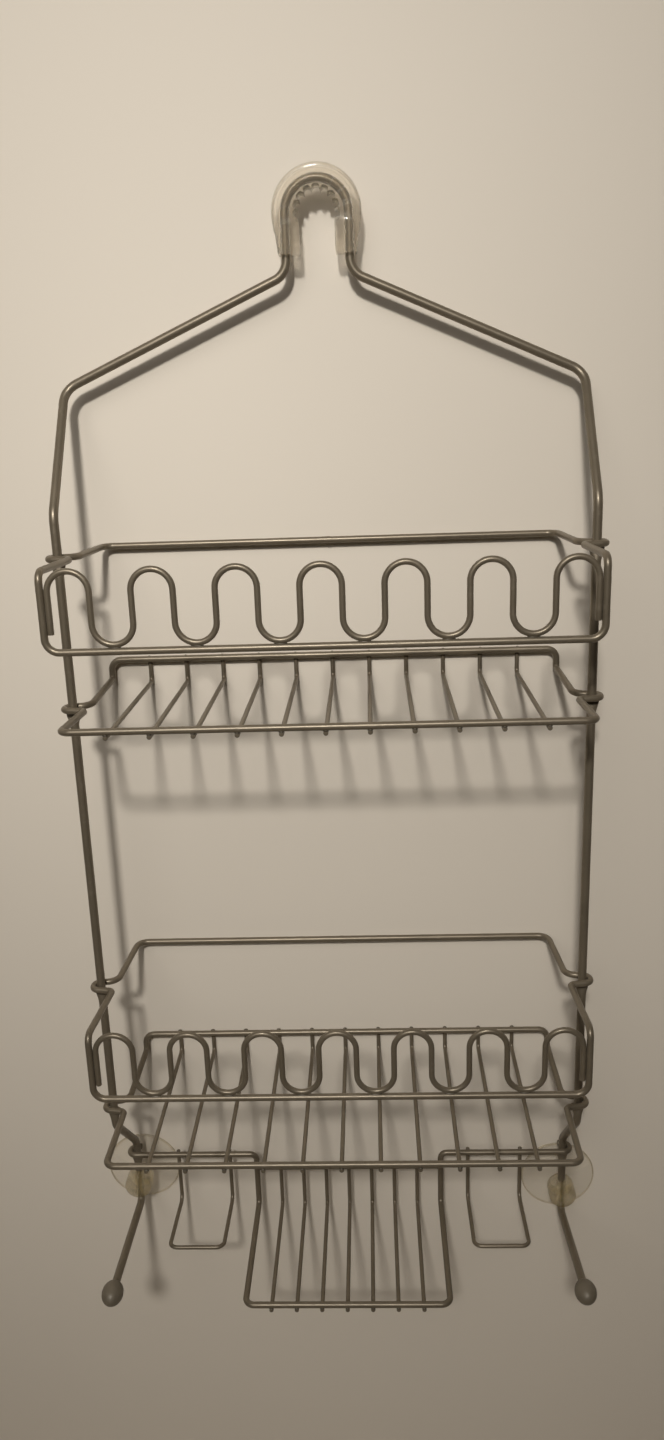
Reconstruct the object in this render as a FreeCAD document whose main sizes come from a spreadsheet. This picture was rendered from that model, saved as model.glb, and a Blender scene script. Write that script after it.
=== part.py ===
"""Over-the-arm shower caddy made of bent and welded wire.

Millimetres. +Z is up, +X is the right-hand side and the wall is the plane Y = 0, with the
caddy in front of it at negative Y. The origin is on the wall plane, level with the centre of
the scalloped opening that hangs on the shower arm.
"""
import FreeCAD, Part
import math
import os
import Sketcher
from FreeCAD import Placement, Rotation, Vector

DOC = FreeCAD.newDocument("shower_caddy")
SHEET = DOC.addObject("Spreadsheet::Sheet", "sizes")

# ---------------------------------------------------------------- driving dimensions
SIZES = [
    # wire stock and joints between wires
    ("frame_wire", 5.0, "diameter of the hanging frame rod"),
    ("rail_wire", 3.8, "diameter of the basket, shelf and dish rails"),
    ("wave_wire", 3.2, "diameter of the wavy front wire"),
    ("rib_wire", 2.6, "diameter of floor ribs and hook loops"),
    ("weld_sink", 0.1, "how far a welded wire is pressed into the one it crosses"),
    ("fit_gap", 0.02, "radial gap of a grip or cap pushed over the frame rod"),
    ("seat_gap", 0.1, "gap between a snap-fit crook and the frame rod"),
    # frame rod: distances out from the middle, forward of the wall and below the arm
    ("neck_depth", 14.0, "neck arch, forward of the wall"),
    ("arch_radius", 17.2, "radius of the arch over the shower arm"),
    ("arch_lower", 0.8, "centre of the arch below the centre of the opening"),
    ("leg_drop", 30.5, "foot of the straight legs of the neck"),
    ("side_half", 144.0, "half distance between the side rods"),
    ("shoulder_drop", 86.0, "outer shoulder corners"),
    ("side_depth", 60.0, "side rods, forward of the wall"),
    ("side_top_drop", 151.0, "top of the upright side rods"),
    ("side_foot_drop", 529.0, "foot of the upright side rods"),
    ("foot_depth", 16.0, "lower uprights, forward of the wall"),
    ("foot_top_drop", 574.0, "top of the lower uprights"),
    ("foot_kink_drop", 626.5, "foot of the lower uprights, on average"),
    ("foot_stagger", 5.0, "left foot and cup above that average, and right ones below it"),
    ("tip_half", 142.0, "half distance between the ball caps"),
    ("tip_depth", 109.0, "ball caps, forward of the wall"),
    ("tip_drop", 611.0, "ball caps, below the arm"),
    ("shoulder_bend", 11.0, "bend radius at the neck and the shoulders"),
    ("side_bend", 14.0, "bend radius of the side rods"),
    ("arm_bend", 5.0, "bend radius where a lower upright turns forward into an arm"),
    ("ear_half", 4.2, "half width of a coined ear that a loop rests on"),
    ("ear_thick", 2.6, "thickness of the rod where it is coined"),
    ("ear_length", 8.5, "height of a coined ear"),
    ("blade_half", 3.2, "half depth of the coined blade inside a suction cup"),
    ("blade_length", 17.0, "height of the coined blade"),
    # floor loops of the two shelves
    ("upper_shelf_drop", 254.2, "upper floor loop"),
    ("lower_shelf_drop", 511.2, "lower floor loop"),
    ("shelf_depth", 121.0, "front rail of the floor and guard loops"),
    ("shelf_back_half", 134.0, "half width of a floor loop at the wall"),
    ("shelf_front_half", 134.5, "half width of a floor loop at the front"),
    ("shelf_back_rise", 11.8, "back rail above the floor loop"),
    ("shelf_back_bend", 2.6, "bend radius below the ends of the back rail"),
    ("shelf_crook_dip", 3.4, "crooks of a floor loop below its front rail"),
    ("shelf_corner", 6.0, "corner radius of the floor loops"),
    ("rib_pitch", 22.2, "spacing of the floor ribs"),
    ("rib_stub", 1.4, "length of a rib past the front rail"),
    ("rib_head", 0.8, "top of a rib above the centre of the rail it hangs on"),
    ("rib_bend", 3.2, "bend radius of a rib at the back"),
    # guard loops
    ("guard_rise", 80.2, "back of a guard loop above its floor loop"),
    ("upper_guard_lift", 0.8, "front of the upper guard above its back"),
    ("lower_guard_lift", 4.0, "front of the lower guard above its back"),
    ("guard_fall", 40.0, "front rail of a guard below its top"),
    ("guard_back_half", 132.6, "half width of a guard at the wall"),
    ("guard_front_half", 136.6, "half width of a guard at the front"),
    ("guard_corner", 7.0, "corner radius of the guard loops"),
    ("wave_end", 9.0, "cut end of the wave wire above the front rail"),
    # crook round the side rod
    ("crook_half", 136.8, "half width across the inner bends of the crooks"),
    ("crook_back_bend", 7.0, "bend radius into a crook, on the wall side"),
    ("crook_front_bend", 3.0, "bend radius out of a crook, on the front side"),
    # soap dish
    ("dish_rail_drop", 582.0, "rail that carries the soap dish"),
    ("dish_half", 62.0, "half width of the soap dish"),
    ("dish_floor_drop", 621.0, "floor loop of the soap dish"),
    ("dish_depth", 108.0, "front rail of the soap dish"),
    ("dish_corner", 5.5, "corner radius of the dish rail"),
    ("dish_rib_pitch", 15.4, "spacing of the dish ribs"),
    ("dish_cross_drop", 593.5, "cross wire at the back of the dish"),
    ("rail_hook_reach", 2.5, "length of the rail end behind the frame rod"),
    # hook loops
    ("hook_inner_half", 80.5, "inner side wire of a hook loop"),
    ("hook_outer_half", 115.4, "outer side wire of a hook loop"),
    ("hook_floor_drop", 620.0, "bend at the back of a hook loop"),
    ("hook_front_drop", 617.0, "front bar of a hook loop"),
    ("hook_head", 1.2, "top of a hook loop above the centre of its rail"),
    ("hook_depth", 66.0, "front bar of a hook loop, forward of the wall"),
    ("hook_corner", 5.0, "bend radius of the hook loops"),
    # neck grip
    ("grip_radius", 24.0, "outer radius of the grip over the arch"),
    ("grip_foot_half", 21.8, "half width of the grip at its foot"),
    ("grip_drop", 20.4, "foot of the grip below the centre of the arch"),
    ("grip_thick", 11.0, "thickness of the grip, front to back"),
    ("grip_edge", 2.2, "rounding of the outer edge of the grip"),
    ("bore_radius", 9.8, "radius across the tips of the scallops"),
    ("slot_half", 9.5, "half width between the legs of the grip"),
    ("lobe_radius", 2.05, "radius of one scallop"),
    ("lobe_orbit", 10.3, "radius of the ring of scallop centres"),
    ("lobe_step", 25.0, "angle from one scallop to the next, degrees"),
    # suction cups
    ("cup_drop", 610.5, "centre of a suction cup, on average"),
    ("cup_radius", 25.0, "radius of the suction cup flange"),
    ("cup_rim", 0.9, "thickness of the flange at its rim"),
    ("cup_hollow", 3.0, "depth of the hollow face"),
    ("cup_root", 4.6, "height of the flange at the neck"),
    ("cup_neck_radius", 5.8, "radius of the neck"),
    ("cup_neck_height", 7.2, "height of the middle of the neck"),
    ("head_radius", 9.0, "radius of the head"),
    ("head_base", 9.6, "height of the back of the head"),
    ("head_height", 24.2, "height of the front of the head"),
    ("head_round", 2.6, "rounding of the head"),
    ("cross_hole_radius", 3.26, "cross hole, with running room round the blade"),
    # ball caps
    ("cap_radius", 6.5, "radius of a ball cap"),
    ("cap_half_length", 8.65, "half length of a ball cap along the rod"),
    ("cap_socket", 9.0, "length of frame rod inside a cap"),
]
for row, (alias, value, note) in enumerate(SIZES, start=1):
    SHEET.set(f"A{row}", note)
    SHEET.set(f"B{row}", str(value))
    SHEET.setAlias(f"B{row}", alias)
DOC.recompute()

PARTS = []


def size(alias):
    """Value of one cell of the sheet."""
    return float(SHEET.get(alias))


FRAME_R = size("frame_wire") / 2
RAIL_R = size("rail_wire") / 2
WAVE_R = size("wave_wire") / 2
RIB_R = size("rib_wire") / 2
# centre to centre distance of a rib welded across a rail
RIB_STEP = RAIL_R + RIB_R - size("weld_sink")
# the ribs touch the wall, and the back rails lie in front of them
BACK_DEPTH = RIB_R + RIB_STEP
SHELVES = {"upper": size("upper_shelf_drop"), "lower": size("lower_shelf_drop")}


def add(obj, label):
    """Register one finished sub-part under its node name."""
    obj.Label = label
    PARTS.append(obj)
    return obj


def add_shape(shape, label):
    """Register a shape made with Part's own functions."""
    obj = DOC.addObject("Part::Feature", label)
    obj.Shape = shape
    obj.Placement = Placement()
    return add(obj, label)


# ---------------------------------------------------------------- bent wire
def bend_path(corners, closed=False):
    """Straight runs joined by tangent arcs, from corners given as (point, bend radius)."""
    points = [Vector(*point) for point, _ in corners]
    radii = [radius for _, radius in corners]
    count = len(points)
    bends = []
    for i in range(count):
        here = points[i]
        if not closed and i in (0, count - 1):
            bends.append((here, here, here))
            continue
        back = (points[i - 1] - here).normalize()
        ahead = (points[(i + 1) % count] - here).normalize()
        turn = math.pi - back.getAngle(ahead)
        reach = radii[i] * math.tan(turn / 2)
        inward = (back + ahead).normalize()
        crown = here + inward * (radii[i] / math.cos(turn / 2) - radii[i])
        bends.append((here + back * reach, crown, here + ahead * reach))
    edges = []
    for i in range(count if closed else count - 1):
        start, crown, leave = bends[i]
        arrive = bends[(i + 1) % count][0]
        if (leave - start).Length > 1e-6:
            edges.append(Part.Arc(start, crown, leave).toShape())
        if (arrive - leave).Length > 1e-6:
            edges.append(Part.LineSegment(leave, arrive).toShape())
    return edges


def round_wire(edges, radius):
    """Solid round wire along a path: a cylinder for each run, a torus piece for each arc."""
    pieces = []
    for edge in edges:
        start = edge.valueAt(edge.FirstParameter)
        ahead = edge.tangentAt(edge.FirstParameter)
        disc = Part.Face(Part.Wire(Part.makeCircle(radius, start, ahead)))
        if isinstance(edge.Curve, Part.Line):
            pieces.append(disc.extrude(ahead * edge.Length))
        else:
            arc = edge.Curve
            axis = (start - arc.Center).cross(ahead)
            pieces.append(disc.revolve(arc.Center, axis, math.degrees(edge.Length / arc.Radius)))
    return pieces[0].multiFuse(pieces[1:]).removeSplitter()


def mirrored(corners):
    """Corners of the right half, and the same corners on the left, as one open path."""
    left = [((-x, y, z), radius) for (x, y, z), radius in corners if x > 0]
    return left[::-1] + [corner for corner in corners if corner[0][0] > 0]


# ---------------------------------------------------------------- frame rod
def side_ears():
    """Heights at which the frame rod is coined under a loop: (top, forward distance)."""
    heights = []
    for drop in SHELVES.values():
        heights.append((-drop - size("shelf_crook_dip") - RAIL_R, size("side_depth")))
        heights.append((-drop + size("guard_rise") - RAIL_R, size("side_depth")))
    heights.append((-size("dish_rail_drop") - RAIL_R, size("foot_depth")))
    return [(top - 0.05, depth) for top, depth in heights]


def oval(centre, half_x, half_y):
    """Level elliptical outline."""
    if half_x >= half_y:
        curve = Part.Ellipse(centre + Vector(half_x, 0, 0), centre + Vector(0, half_y, 0), centre)
    else:
        curve = Part.Ellipse(centre + Vector(0, half_y, 0), centre + Vector(-half_x, 0, 0), centre)
    return Part.Wire(curve.toShape())


def coined(x, y, levels):
    """Stretch of rod pressed flat: levels are (height, half width in x, half depth in y)."""
    outlines = [oval(Vector(x, y, z), half_x, half_y) for z, half_x, half_y in levels]
    pieces = [Part.makeLoft([low, high], True, True) for low, high in zip(outlines, outlines[1:])]
    return pieces[0] if len(pieces) == 1 else pieces[0].multiFuse(pieces[1:])


def frame_rod():
    """One rod from ball cap to ball cap, over the neck."""
    neck_y = -size("neck_depth")
    side_y = -size("side_depth")
    foot_y = -size("foot_depth")
    half = size("side_half")
    arch = size("arch_radius")
    shoulder = size("shoulder_bend")
    bend = size("side_bend")
    right = [
        ((arch, neck_y, arch - size("arch_lower")), arch),
        ((arch, neck_y, -size("leg_drop")), shoulder),
        ((half, neck_y, -size("shoulder_drop")), shoulder),
        ((half, side_y, -size("side_top_drop")), bend),
        ((half, side_y, -size("side_foot_drop")), bend),
        ((half, foot_y, -size("foot_top_drop")), bend),
    ]
    feet = [[(tuple(foot_kink(side)), size("arm_bend")), (tuple(tip(side)), 0)] for side in (-1, 1)]
    rod = round_wire(bend_path(feet[0][::-1] + mirrored(right) + feet[1]), FRAME_R)
    cutters = []
    flats = []
    blade = size("blade_length") / 2
    taper = blade * 0.3
    thin = size("ear_thick") / 2
    for side in (-1, 1):
        x = side * half
        for top, depth in side_ears():
            low = top - size("ear_length")
            cutters.append(Part.makeBox(14, 14, top - low, Vector(x - 7, -depth - 7, low)))
            flats.append(coined(x, -depth, [(low, FRAME_R, FRAME_R), (top, size("ear_half"), thin)]))
        mid = cup_height(side)
        cutters.append(Part.makeBox(14, 14, 2 * blade, Vector(x - 7, foot_y - 7, mid - blade)))
        flats.append(coined(x, foot_y, [
            (mid - blade, FRAME_R, FRAME_R),
            (mid - blade + taper, thin, size("blade_half")),
            (mid + blade - taper, thin, size("blade_half")),
            (mid + blade, FRAME_R, FRAME_R),
        ]))
    rod = rod.cut(Part.makeCompound(cutters))
    return add_shape(rod.fuse(flats), "frame_rod")


def foot_kink(side):
    """Corner where one lower upright turns forward; side is -1 for left and 1 for right."""
    drop = size("foot_kink_drop") + side * size("foot_stagger")
    return Vector(side * size("side_half"), -size("foot_depth"), -drop)


def tip(side):
    """End of the frame rod on one side, at the centre of its ball cap."""
    return Vector(side * size("tip_half"), -size("tip_depth"), -size("tip_drop"))


def cup_height(side):
    """Height of the centre of the suction cup on one side."""
    return -size("cup_drop") - side * size("foot_stagger")


def ball_caps():
    """Round caps pushed over the two ends of the frame rod."""
    for name, side in (("left", -1), ("right", 1)):
        ball = DOC.addObject("Part::Ellipsoid", f"{name}_ball")
        ball.setExpression("Radius1", "sizes.cap_half_length")
        ball.setExpression("Radius2", "sizes.cap_radius")
        ball.setExpression("Radius3", "sizes.cap_radius")
        socket = DOC.addObject("Part::Cylinder", f"{name}_cap_socket")
        socket.setExpression("Radius", "sizes.frame_wire / 2 + sizes.fit_gap")
        socket.setExpression("Height", "sizes.cap_half_length + sizes.cap_socket")
        socket.Placement = Placement(Vector(0, 0, 0), Rotation(Vector(1, 0, 0), 180))
        cap = DOC.addObject("Part::Cut", f"{name}_cap")
        cap.Base = ball
        cap.Tool = socket
        ahead = tip(side) - foot_kink(side)
        cap.Placement = Placement(tip(side), Rotation(Vector(0, 0, 1), ahead))
        add(cap, f"{name}_ball_cap")


# ---------------------------------------------------------------- loops on the side rods
def crook(z):
    """Corners of the crook that snaps round the right side rod, from back to front."""
    reach = FRAME_R + RAIL_R + size("seat_gap")
    half = size("side_half")
    depth = size("side_depth")
    inner = size("crook_half")
    return [
        ((inner - 1.5, -depth + reach, z), size("crook_back_bend")),
        ((half + reach, -depth + reach, z), reach),
        ((half + reach, -depth - reach, z), reach),
        ((inner - 1.0, -depth - reach - 2.0, z), size("crook_front_bend")),
    ]


def shelf_rims():
    """Floor loop of each shelf, with its raised back rail."""
    rise = size("shelf_back_rise")
    corner = size("shelf_corner")
    for name, drop in SHELVES.items():
        back = size("shelf_back_half")
        right = [
            ((back, -BACK_DEPTH, -drop + rise), corner),
            ((back, -BACK_DEPTH, -drop), size("shelf_back_bend")),
            *crook(-drop - size("shelf_crook_dip")),
            ((size("shelf_front_half"), -size("shelf_depth"), -drop), corner),
        ]
        edges = bend_path(mirrored(right), closed=True)
        add_shape(round_wire(edges, RAIL_R), f"{name}_shelf_rim")


def guard_rims():
    """Guard loop of each shelf: back rail, crooked sides and a dropped front rail."""
    front = size("guard_front_half")
    corner = size("guard_corner")
    for name, drop in SHELVES.items():
        back = -drop + size("guard_rise")
        top = back + size(f"{name}_guard_lift")
        low = top - size("guard_fall")
        right = [
            ((size("guard_back_half"), -BACK_DEPTH, back), corner),
            *crook(back),
            ((front, -size("shelf_depth"), top), corner * 0.75),
            ((front, -size("shelf_depth"), low), corner),
        ]
        edges = bend_path(mirrored(right), closed=True)
        add_shape(round_wire(edges, RAIL_R), f"{name}_guard_rim")


def guard_waves():
    """Wavy wire that stands on the front rail of each guard, with seven humps."""
    end_x = size("guard_front_half") - RAIL_R - WAVE_R - 0.05
    humps = 7
    radius = end_x / (2 * humps - 1)
    y = -size("shelf_depth")
    for name, drop in SHELVES.items():
        top = -drop + size("guard_rise") + size(f"{name}_guard_lift")
        rail = top - size("guard_fall")
        valley = rail + RAIL_R + WAVE_R - size("weld_sink")
        corners = [((-end_x, y, rail + size("wave_end")), 0)]
        for i in range(humps):
            left = -end_x + 4 * radius * i
            if i:
                corners.append(((left, y, valley), radius))
            corners.append(((left, y, top), radius))
            corners.append(((left + 2 * radius, y, top), radius))
            if i < humps - 1:
                corners.append(((left + 2 * radius, y, valley), radius))
        corners.append(((end_x, y, rail + size("wave_end")), 0))
        add_shape(round_wire(bend_path(corners), WAVE_R), f"{name}_guard_wave")


# ---------------------------------------------------------------- ribs
def rib(label, x, back, top, floor, front):
    """Bent rib as a body: up the back, then forward under the rails.

    back, top, floor and front are expressions for the distance of its upright from the wall,
    the height of its upper end, the height of its floor run and the distance of its front end.
    """
    body = DOC.addObject("PartDesign::Body", label + "_body")
    planes = {item.Role: item for item in body.Origin.OriginFeatures}
    path = body.newObject("Sketcher::SketchObject", label + "_path")
    path.AttachmentSupport = (planes["YZ_Plane"], "")
    path.MapMode = "FlatFace"
    bend = size("rib_bend")
    y0 = -evaluate(back)
    y1 = -evaluate(front)
    z0 = evaluate(top)
    z1 = evaluate(floor)
    up = path.addGeometry(Part.LineSegment(Vector(y0, z0, 0), Vector(y0, z1 + bend, 0)), False)
    round_ = path.addGeometry(Part.ArcOfCircle(
        Part.Circle(Vector(y0 - bend, z1 + bend, 0), Vector(0, 0, 1), bend),
        -math.pi / 2, 0), False)
    run = path.addGeometry(Part.LineSegment(Vector(y0 - bend, z1, 0), Vector(y1, z1, 0)), False)
    path.addConstraint(Sketcher.Constraint("Vertical", up))
    path.addConstraint(Sketcher.Constraint("Horizontal", run))
    path.addConstraint(Sketcher.Constraint("Tangent", up, 2, round_, 2))
    path.addConstraint(Sketcher.Constraint("Tangent", round_, 1, run, 1))
    rules = [
        ("Radius", (round_,), bend, "sizes.rib_bend"),
        ("DistanceX", (up, 1, -1, 1), -y0, back),
        ("DistanceY", (up, 1, -1, 1), -z0, f"-({top})"),
        ("DistanceY", (run, 2, -1, 1), -z1, f"-({floor})"),
        ("DistanceX", (run, 2, -1, 1), -y1, front),
    ]
    for kind, where, value, cell in rules:
        index = path.addConstraint(Sketcher.Constraint(kind, *where, value))
        path.setExpression(f"Constraints[{index}]", cell)
    section = body.newObject("Sketcher::SketchObject", label + "_section")
    section.AttachmentSupport = (planes["XY_Plane"], "")
    section.MapMode = "FlatFace"
    section.AttachmentOffset = Placement(Vector(0, y0, z0), Rotation())
    section.setExpression("AttachmentOffset.Base.y", f"-({back})")
    section.setExpression("AttachmentOffset.Base.z", top)
    disc = section.addGeometry(Part.Circle(Vector(0, 0, 0), Vector(0, 0, 1), RIB_R), False)
    section.addConstraint(Sketcher.Constraint("Coincident", disc, 3, -1, 1))
    index = section.addConstraint(Sketcher.Constraint("Radius", disc, RIB_R))
    section.setExpression(f"Constraints[{index}]", "sizes.rib_wire / 2")
    pipe = body.newObject("PartDesign::AdditivePipe", label + "_pipe")
    pipe.Profile = section
    pipe.Spine = path
    body.Placement = Placement(Vector(x, 0, 0), Rotation())
    return add(body, label)


def evaluate(expression):
    """Number that an expression of the sheet's cells stands for."""
    value = SHEET.evalExpression(expression.replace("sizes.", ""))
    return float(getattr(value, "Value", value))


def shelf_ribs():
    """Eleven floor ribs under each shelf."""
    under = "sizes.rail_wire / 2 + sizes.rib_wire / 2 - sizes.weld_sink"
    for name in SHELVES:
        floor = f"-sizes.{name}_shelf_drop - ({under})"
        top = f"-sizes.{name}_shelf_drop + sizes.shelf_back_rise + sizes.rib_head"
        for i in range(11):
            x = (i - 5) * size("rib_pitch")
            rib(f"{name}_shelf_rib_{i + 1:02d}", x, "sizes.rib_wire / 2", top, floor,
                "sizes.shelf_depth + sizes.rib_stub")


def dish_ribs():
    """Seven ribs of the soap dish, and the cross wire they hang from."""
    under = "sizes.rail_wire / 2 + sizes.rib_wire / 2 - sizes.weld_sink"
    rail = "sizes.foot_depth + sizes.frame_wire / 2 + sizes.rail_wire / 2 + sizes.seat_gap"
    back = f"{rail} - ({under})"
    floor = f"-sizes.dish_floor_drop - ({under})"
    top = "-sizes.dish_cross_drop + sizes.rib_head"
    for i in range(7):
        x = (i - 3) * size("dish_rib_pitch")
        rib(f"soap_dish_rib_{i + 1}", x, back, top, floor, "sizes.dish_depth + sizes.rib_stub")
    cross = DOC.addObject("Part::Cylinder", "cross_wire")
    cross.setExpression("Radius", "sizes.rib_wire / 2")
    cross.setExpression("Height", "2 * (sizes.dish_half - sizes.rail_wire / 2 + sizes.weld_sink)")
    reach = size("dish_half") - RAIL_R + size("weld_sink")
    y = -evaluate(back) - 2 * RIB_R + size("weld_sink")
    cross.Placement = Placement(Vector(-reach, y, -size("dish_cross_drop")),
                                Rotation(Vector(0, 1, 0), 90))
    add(cross, "soap_dish_cross_wire")


# ---------------------------------------------------------------- soap dish and hooks
def rail_depth():
    """Distance from the wall of the rail that rests across the lower uprights."""
    return size("foot_depth") + FRAME_R + RAIL_R + size("seat_gap")


def soap_dish_rim():
    """One wire: hooked round each upright, along to the middle, down and round the dish."""
    rail_y = -rail_depth()
    behind = -2 * size("foot_depth") - rail_y
    outer = size("side_half") + rail_depth() - size("foot_depth")
    rail_z = -size("dish_rail_drop")
    floor_z = -size("dish_floor_drop")
    half = size("dish_half")
    corner = size("dish_corner")
    wrap = rail_depth() - size("foot_depth")
    right = [
        ((half, -size("dish_depth"), floor_z), corner),
        ((half, rail_y, floor_z), corner * 0.8),
        ((half, rail_y, rail_z), corner * 0.8),
        ((outer, rail_y, rail_z), wrap),
        ((outer, behind, rail_z), wrap),
        ((size("side_half") - size("rail_hook_reach"), behind, rail_z), 0),
    ]
    add_shape(round_wire(bend_path(mirrored(right)), RAIL_R), "soap_dish_rim")


def hook_loops():
    """U-shaped loops that hang from the dish rail, for a razor or a cloth."""
    y = -rail_depth() + RIB_STEP
    stub = -size("dish_rail_drop") + size("hook_head")
    bend = size("hook_corner")
    for name, side in (("left", -1), ("right", 1)):
        inner = side * size("hook_inner_half")
        outer = side * size("hook_outer_half")
        back_z = -size("hook_floor_drop")
        front = (-size("hook_depth"), -size("hook_front_drop"))
        corners = [
            ((inner, y, stub), 0),
            ((inner, y, back_z), bend),
            ((inner, *front), bend),
            ((outer, *front), bend),
            ((outer, y, back_z), bend),
            ((outer, y, stub), 0),
        ]
        add_shape(round_wire(bend_path(corners), RIB_R), f"{name}_hook_loop")


# ---------------------------------------------------------------- neck grip
def neck_grip():
    """Clear horseshoe moulded round the arch, with a scalloped opening for the shower arm."""
    radius = size("grip_radius")
    foot = size("grip_foot_half")
    drop = size("grip_drop")
    outline = DOC.addObject("Sketcher::SketchObject", "grip_outline")
    outline.Placement = Placement(Vector(), Rotation(Vector(1, 0, 0), 90))
    circle = Part.Circle(Vector(0, 0, 0), Vector(0, 0, 1), radius)
    lean = (radius - foot) / drop
    arch = outline.addGeometry(Part.ArcOfCircle(circle, -lean, math.pi + lean), False)
    spring = Vector(radius * math.cos(lean), -radius * math.sin(lean), 0)
    corner = Vector(foot, -drop, 0)
    left = outline.addGeometry(Part.LineSegment(
        Vector(-spring.x, spring.y, 0), Vector(-corner.x, corner.y, 0)), False)
    sole = outline.addGeometry(Part.LineSegment(Vector(-corner.x, corner.y, 0), corner), False)
    right = outline.addGeometry(Part.LineSegment(corner, spring), False)
    outline.addConstraint(Sketcher.Constraint("Coincident", arch, 3, -1, 1))
    outline.addConstraint(Sketcher.Constraint("Tangent", arch, 2, left, 1))
    outline.addConstraint(Sketcher.Constraint("Tangent", right, 2, arch, 1))
    outline.addConstraint(Sketcher.Constraint("Coincident", left, 2, sole, 1))
    outline.addConstraint(Sketcher.Constraint("Coincident", sole, 2, right, 1))
    outline.addConstraint(Sketcher.Constraint("Symmetric", sole, 1, sole, 2, -2))
    rules = [("Radius", (arch,), radius, "sizes.grip_radius"),
             ("DistanceX", (sole, 1, sole, 2), 2 * foot, "2 * sizes.grip_foot_half"),
             ("DistanceY", (sole, 1, -1, 1), drop, "sizes.grip_drop")]
    for kind, where, value, cell in rules:
        index = outline.addConstraint(Sketcher.Constraint(kind, *where, value))
        outline.setExpression(f"Constraints[{index}]", cell)

    slab = DOC.addObject("Part::Extrusion", "grip_slab")
    slab.Base = outline
    slab.Dir = Vector(0, -1, 0)
    slab.Solid = True
    slab.Symmetric = True
    slab.setExpression("LengthFwd", "sizes.grip_thick")
    slab.Placement.Base = Vector(0, -size("neck_depth"), -size("arch_lower"))
    DOC.recompute()
    rim = DOC.addObject("Part::Fillet", "grip_body")
    rim.Base = slab
    sole_z = -drop - size("arch_lower")
    outer = [i + 1 for i, edge in enumerate(slab.Shape.Edges)
             if abs(edge.CenterOfMass.y + size("neck_depth")) > 1
             and edge.CenterOfMass.z > sole_z + 1]
    rim.Edges = [(index, size("grip_edge"), size("grip_edge")) for index in outer]

    tools = []
    across = Rotation(Vector(1, 0, 0), 90)
    front_y = -size("neck_depth") + size("grip_thick")
    bore = DOC.addObject("Part::Cylinder", "arm_bore")
    bore.setExpression("Radius", "sizes.bore_radius")
    bore.setExpression("Height", "2 * sizes.grip_thick")
    bore.Placement = Placement(Vector(0, front_y, 0), across)
    tools.append(bore)
    slot = DOC.addObject("Part::Box", "arm_slot")
    slot.setExpression("Length", "2 * sizes.slot_half")
    slot.setExpression("Width", "2 * sizes.grip_thick")
    slot.setExpression("Height", "2 * sizes.grip_drop")
    slot.Placement.Base = Vector(-size("slot_half"), front_y - 2 * size("grip_thick"),
                                 -2 * size("grip_drop"))
    tools.append(slot)
    for i in range(9):
        angle = math.radians(90 + (i - 4) * size("lobe_step"))
        lobe = DOC.addObject("Part::Cylinder", f"lobe_{i + 1}")
        lobe.setExpression("Radius", "sizes.lobe_radius")
        lobe.setExpression("Height", "2 * sizes.grip_thick")
        orbit = size("lobe_orbit")
        lobe.Placement = Placement(
            Vector(orbit * math.cos(angle), front_y, orbit * math.sin(angle)), across)
        tools.append(lobe)
    arch_r = size("arch_radius")
    leg = -2 * size("grip_drop")
    y = -size("neck_depth")
    z = -size("arch_lower")
    springs = [Vector(-arch_r, y, z), Vector(arch_r, y, z)]
    channel = DOC.addObject("Part::Feature", "wire_channel")
    channel.Shape = round_wire([
        Part.LineSegment(Vector(-arch_r, y, leg), springs[0]).toShape(),
        Part.Arc(springs[0], Vector(0, y, z + arch_r), springs[1]).toShape(),
        Part.LineSegment(springs[1], Vector(arch_r, y, leg)).toShape(),
    ], FRAME_R + size("fit_gap"))
    room = DOC.addObject("Part::MultiFuse", "arm_room")
    room.Shapes = tools
    opened = DOC.addObject("Part::Cut", "opened_grip")
    opened.Base = rim
    opened.Tool = room
    grip = DOC.addObject("Part::Cut", "grip")
    grip.Base = opened
    grip.Tool = channel
    add(grip, "neck_grip")


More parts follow.
